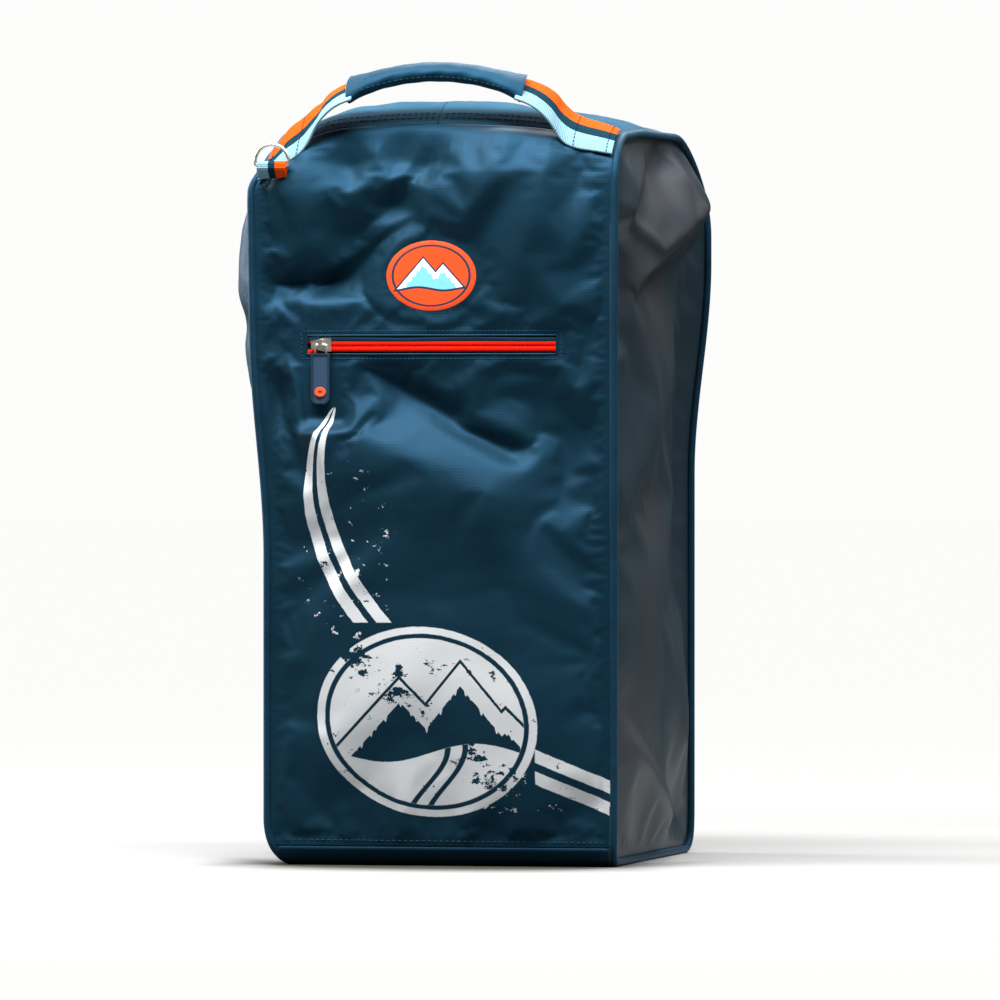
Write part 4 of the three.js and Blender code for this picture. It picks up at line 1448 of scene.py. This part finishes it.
def inflate(obj, pressure, frames, cap_mm, base_y=None):
    """Fills a pad: remeshed, blown up as cloth, then pressed flat where it rests."""
    modifier(obj, "REMESH", mode="VOXEL", voxel_size=4.5 * MM)
    apply_all(obj)
    run_cloth(obj, frames, cap_mm, uniform_pressure_force=pressure, bending_stiffness=2.0,
              tension_stiffness=15, compression_stiffness=15, shear_stiffness=8)
    if base_y is not None:
        points = coordinates(obj)
        points[:, 1] = np.maximum(points[:, 1], base_y)
        set_coordinates(obj, points)
    smooth_faces(obj)
    subdivide(obj)
    return obj


def pad_grid(name, x0, x1, z0, z1, thick):
    """Closed crowned pad with its sides drawn in between the corners."""
    nx, nz = 20, 60
    u, v = np.meshgrid(np.linspace(-1, 1, nx), np.linspace(-1, 1, nz))
    waist_x = 1 - 0.03 * (1 - v ** 2)
    waist_z = 1 - 0.01 * (1 - u ** 2)
    x = (x0 + x1) / 2 + (x1 - x0) / 2 * u * waist_x * (1 - 0.06 * np.abs(v) ** 8)
    z = (z0 + z1) / 2 + (z1 - z0) / 2 * v * waist_z * (1 - 0.02 * np.abs(u) ** 8)
    crown = (1 - np.abs(u) ** 6) ** 0.5 * (1 - np.abs(v) ** 14) ** 0.5
    top = np.stack([x, OUTSIDE + 2.0 + (thick - 2.0) * crown, z], axis=-1)
    return slab(name, top, np.stack([x, OUTSIDE + 0 * x, z], axis=-1), MATERIALS["mesh"])


def channel(obj, lines, depth, width):
    """Presses sewn channels into a pad across its given heights."""
    points = coordinates(obj)
    low, high = points[:, 1].min(), points[:, 1].max()
    share = (points[:, 1] - low) / (high - low)
    for z in lines:
        points[:, 1] -= depth * np.exp(-((points[:, 2] - z) / width) ** 2) * share
    set_coordinates(obj, points)


# Right-hand routes of a shoulder strap and its webbing: x, distance from the back, z
STRAP_ROUTE = [(42, 8, 420), (44, 12, 404), (50, 30, 355), (60, 38, 290), (69, 33, 230), (76, 22, 190)]
WEBBING_ROUTE = [(78, 20.5, 176), (79, 19, 162), (84, 18.5, 142), (92, 15, 112), (97, 7.5, 84), (98, 3.8, 60)]
TAIL_ROUTE = [(79, 25, 163), (80, 25.5, 140), (81, 25, 100), (82, 23, 70)]
STRAP_STEPS = 70
STRAP_HALF = 26.0
STRAP_WEBBING = 25.0


def strap_path(route, sign):
    return spline([(sign * x, OUTSIDE + y, z) for x, y, z in route], STRAP_STEPS)


def strap_strip(name, centres, section, replaces=()):
    """Webbing sewn along a shoulder strap."""
    strip(name, centres, (1, 0, 0), section, "strap_webbing", "back_door", replaces)


def taper(share):
    """Width of a strap pad along its length, as a share of its full width."""
    return 1 - 0.32 * smooth(0.86, 1.0, share) - 0.05 * smooth(0.1, 0, share)


def crowned(share):
    """Section of a strap pad: full in the middle and thin at its edges."""
    return [(a * taper(share), b * (0.35 + 0.65 * max(0.0, 1 - abs(a / 27) ** 4) ** 0.5))
            for a, b in band_section(2 * STRAP_HALF, 8, 18, 2.0)]


for side, sign in SIDES:
    low, high = box_mm(f"back_pad_{side}")
    pad = inflate(pad_grid(f"back_pad_{side}_mesh", low.x + 1.5, high.x - 1.5, low.z + 1.5, high.z - 1.5,
                           high.y - OUTSIDE - 0.8), 3.0, 16, 3.0, OUTSIDE)
    apply_all(pad)
    channel(pad, [low.z + (high.z - low.z) * s for s in (0.25, 0.5, 0.75)], 5.5, 4.0)
    place(pad, "back_door", [f"back_pad_{side}"])
    outline = rounded(low.x + 1, low.z + 1, high.x - 1, high.z - 1, 5, 5)
    edging = resample([(x, OUTSIDE + 2.2, z) for x, z in outline], 260, closed=True)
    strip(f"back_pad_{side}_binding", edging, (0, 1, 0), ellipse_section(4.2, 3.2, 10), "strap",
          "back_door", closed=True)

    run = strap_path(STRAP_ROUTE, sign)
    strap = sweep(f"strap_pad_{side}_foam", run, (1, 0, 0), crowned, "strap")
    inflate(strap, 2.5, 14, 1.6)
    place(strap, "back_door", [f"strap_pad_{side}"])
    for edge in (-1, 1):
        trim = [p + np.array([edge * STRAP_HALF * taper(i / (STRAP_STEPS - 1)), 0, 0])
                for i, p in enumerate(run)]
        strap_strip(f"strap_binding_{side}_{'inner' if edge == -sign else 'outer'}", trim,
                    ellipse_section(4.0, 5.6, 10))
    centre_web = [p + np.array([0, 5.3 + 0.3 * math.sin(i / 5), 0]) for i, p in enumerate(run[6:])]
    strap_strip(f"strap_spine_{side}", centre_web, band_section(STRAP_WEBBING, 1.4, 10))

    for part, knots in (("webbing", WEBBING_ROUTE), ("tail", TAIL_ROUTE)):
        path = strap_path(knots, sign)
        sway = np.array([[0.5 * math.sin(i / 6.0), 0.6 * math.sin(i / 9.0), 0] for i in range(len(path))])
        strap_strip(f"strap_{part}_{side}_band", path + sway, band_section(STRAP_WEBBING, 1.6, 12),
                    [f"strap_{part}_{side}"])
    finish_node(f"strap_buckle_{side}", "buckle", 0.8)
    cx = sign * 92
    anchor = [(cx - 15, 54), (cx + 15, 54), (cx + 15, 70), (cx, 80), (cx - 15, 70)]
    prism(f"strap_anchor_{side}_patch", anchor, OUTSIDE + 2.2, OUTSIDE, "strap", "back_door",
          [f"strap_anchor_{side}"], 0.7)

yoke_low, yoke_high = box_mm("strap_yoke")
band = [(x, OUTSIDE + 1.4 + 0.3 * math.sin(x / 13), (yoke_low.z + yoke_high.z) / 2)
        for x in np.linspace(yoke_low.x, yoke_high.x, 90)]
strap_yoke = strip("strap_yoke_band", band, (0, 0, 1), band_section(yoke_high.z - yoke_low.z, 2.4, 16, 1.2),
                   "strap", "back_door", ["strap_yoke"])
rows = [surface_line(strap_yoke, [(yoke_low.x + 3, BACK + 107, z), (yoke_high.x - 3, BACK + 107, z)],
                     np.array([0, -1.0, 0]), 90) for z in (yoke_low.z + 4, yoke_high.z - 4)]
stitches("strap_yoke_stitches", rows, "back_door")

board_low, board_high = box_mm("base_board")
x, y = np.meshgrid(np.linspace(board_low.x, board_high.x, 40), np.linspace(board_low.y, board_high.y, 40))
board = [warp(np.stack([x, y, z + 0 * x], axis=-1)) * (1, 1, 0) + (0, 0, z)
         for z in (board_high.z, board_low.z)]
board = slab("base_board_sheet", *board, MATERIALS["board"])
bevel(board, 0.6, 40)
place(board, "bag", ["base_board"])


def build_pocket_bag():
    """Thin lining bag hanging flat behind the front fabric."""
    low, high = box_mm("pocket_bag")
    nx, nz = 44, 38
    x, z = np.meshgrid(np.linspace(low.x + 2, high.x - 2, nx), np.linspace(low.z + 2, high.z - 4, nz))
    front = [on_front(a, b)[0][1] if abs(b - ZIP_Z) > 8 else FRONT for a, b in zip(x.ravel(), z.ravel())]
    front = np.array(front).reshape(x.shape) + 3.4
    edge = nearest_edge(x, z, x.min(), x.max(), z.min(), z.max())
    depth = 1.0 + 3.5 * smooth(0, 26, edge) + 0.8 * rumple(x, z, 71, 60, octaves=3) * smooth(0, 12, edge)
    made = slab("pocket_bag_lining", np.stack([x, front, z], axis=-1),
                np.stack([x, front + depth, z], axis=-1), MATERIALS["strap"])
    place(made, "bag", ["pocket_bag"])


build_pocket_bag()


# ---- Stage --------------------------------------------------------------------------------------

def camera():
    azimuth, elevation, distance = math.radians(12.0), math.radians(0.4), 8.0
    frame_width = 0.74
    sensor = 36
    right = Vector((math.cos(azimuth), math.sin(azimuth), 0))
    back = Vector((math.sin(azimuth) * math.cos(elevation), -math.cos(azimuth) * math.cos(elevation),
                   math.sin(elevation)))
    target = Vector((0, FRONT * MM, 0.271)) + right * 0.050
    data = bpy.data.cameras.new("camera")
    data.sensor_width = sensor
    data.lens = sensor * distance / frame_width
    data.clip_end = 90
    made = bpy.data.objects.new("camera", data)
    made.location = target + back * distance
    made.rotation_euler = (-back).to_track_quat("-Z", "Y").to_euler()
    bpy.context.scene.collection.objects.link(made)
    bpy.context.scene.camera = made


def softbox(name, location, target, size, power):
    data = bpy.data.lights.new(name, "AREA")
    data.shape = "RECTANGLE"
    data.size, data.size_y = size
    data.energy = power
    made = bpy.data.objects.new(name, data)
    made.location = location
    made.rotation_euler = (Vector(target) - Vector(location)).to_track_quat("-Z", "Y").to_euler()
    bpy.context.scene.collection.objects.link(made)


FLOOR = (0.36, 0.36, 0.357)
FLOOR_HALF = 30000
WHITE = (1.0, 0.998, 0.99, 1)


def studio():
    world = bpy.data.worlds.new("studio")
    bpy.context.scene.world = world
    world.use_nodes = True
    tree = world.node_tree
    background = tree.nodes["Background"]
    path = tree.nodes.new("ShaderNodeLightPath")
    strength = tree.nodes.new("ShaderNodeMapRange")
    strength.inputs["To Min"].default_value = 0.14
    strength.inputs["To Max"].default_value = 0.98
    tree.links.new(path.outputs["Is Camera Ray"], strength.inputs["Value"])
    tree.links.new(strength.outputs["Result"], background.inputs["Strength"])
    background.inputs["Color"].default_value = WHITE
    middle = (0, 0, 0.3)
    softbox("top_light", (-0.15, -0.54, 1.45), (0, -0.1, 0.35), (1.1, 0.35), 50)
    softbox("left_light", (-2.2, 0.7, 1.3), middle, (1.0, 1.4), 78)
    softbox("right_light", (1.5, -0.35, 2.3), middle, (0.7, 0.7), 54)
    softbox("back_light", (0.2, 1.7, 2.2), middle, (2.0, 1.2), 55)
    paper = Finish("floor", FLOOR, 0.9, specular_ior_level=0.0)
    x, y, _ = paper.axes()
    far = (x * x + y * y).root().step(0.45, 1.2)
    paper.set("Emission Color", WHITE)
    # Painted contact shadow: the floor colour turns dark where ambient occlusion finds the bag's front close
    # by, and only in front of the bag
    painted_shadow_ao = paper.node("AmbientOcclusion", Distance=0.17)
    painted_shadow_ao.samples = 48
    lit = Value(paper.tree, painted_shadow_ao.outputs["AO"]).step(0.56, 1.0)
    clear = lit.max(x.abs().step(0.11, 0.2)).max(y.step(-0.14, 0.0))
    paper.paint(paper.mix(far, paper.mix(clear, (0.05, 0.047, 0.04), FLOOR), (0.02, 0.02, 0.02)))
    seen = Value(paper.tree, paper.node("LightPath").outputs["Is Camera Ray"])
    paper.link(seen * far * 0.97, paper.shader.inputs["Emission Strength"])
    corners = [(sx * FLOOR_HALF, sy * FLOOR_HALF, 0) for sx, sy in ((-1, -1), (1, -1), (1, 1), (-1, 1))]
    new_object("floor", corners, [(0, 1, 2, 3)], paper.material)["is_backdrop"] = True


camera()
studio()
bpy.context.scene.view_settings.view_transform = "Standard"

low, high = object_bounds()
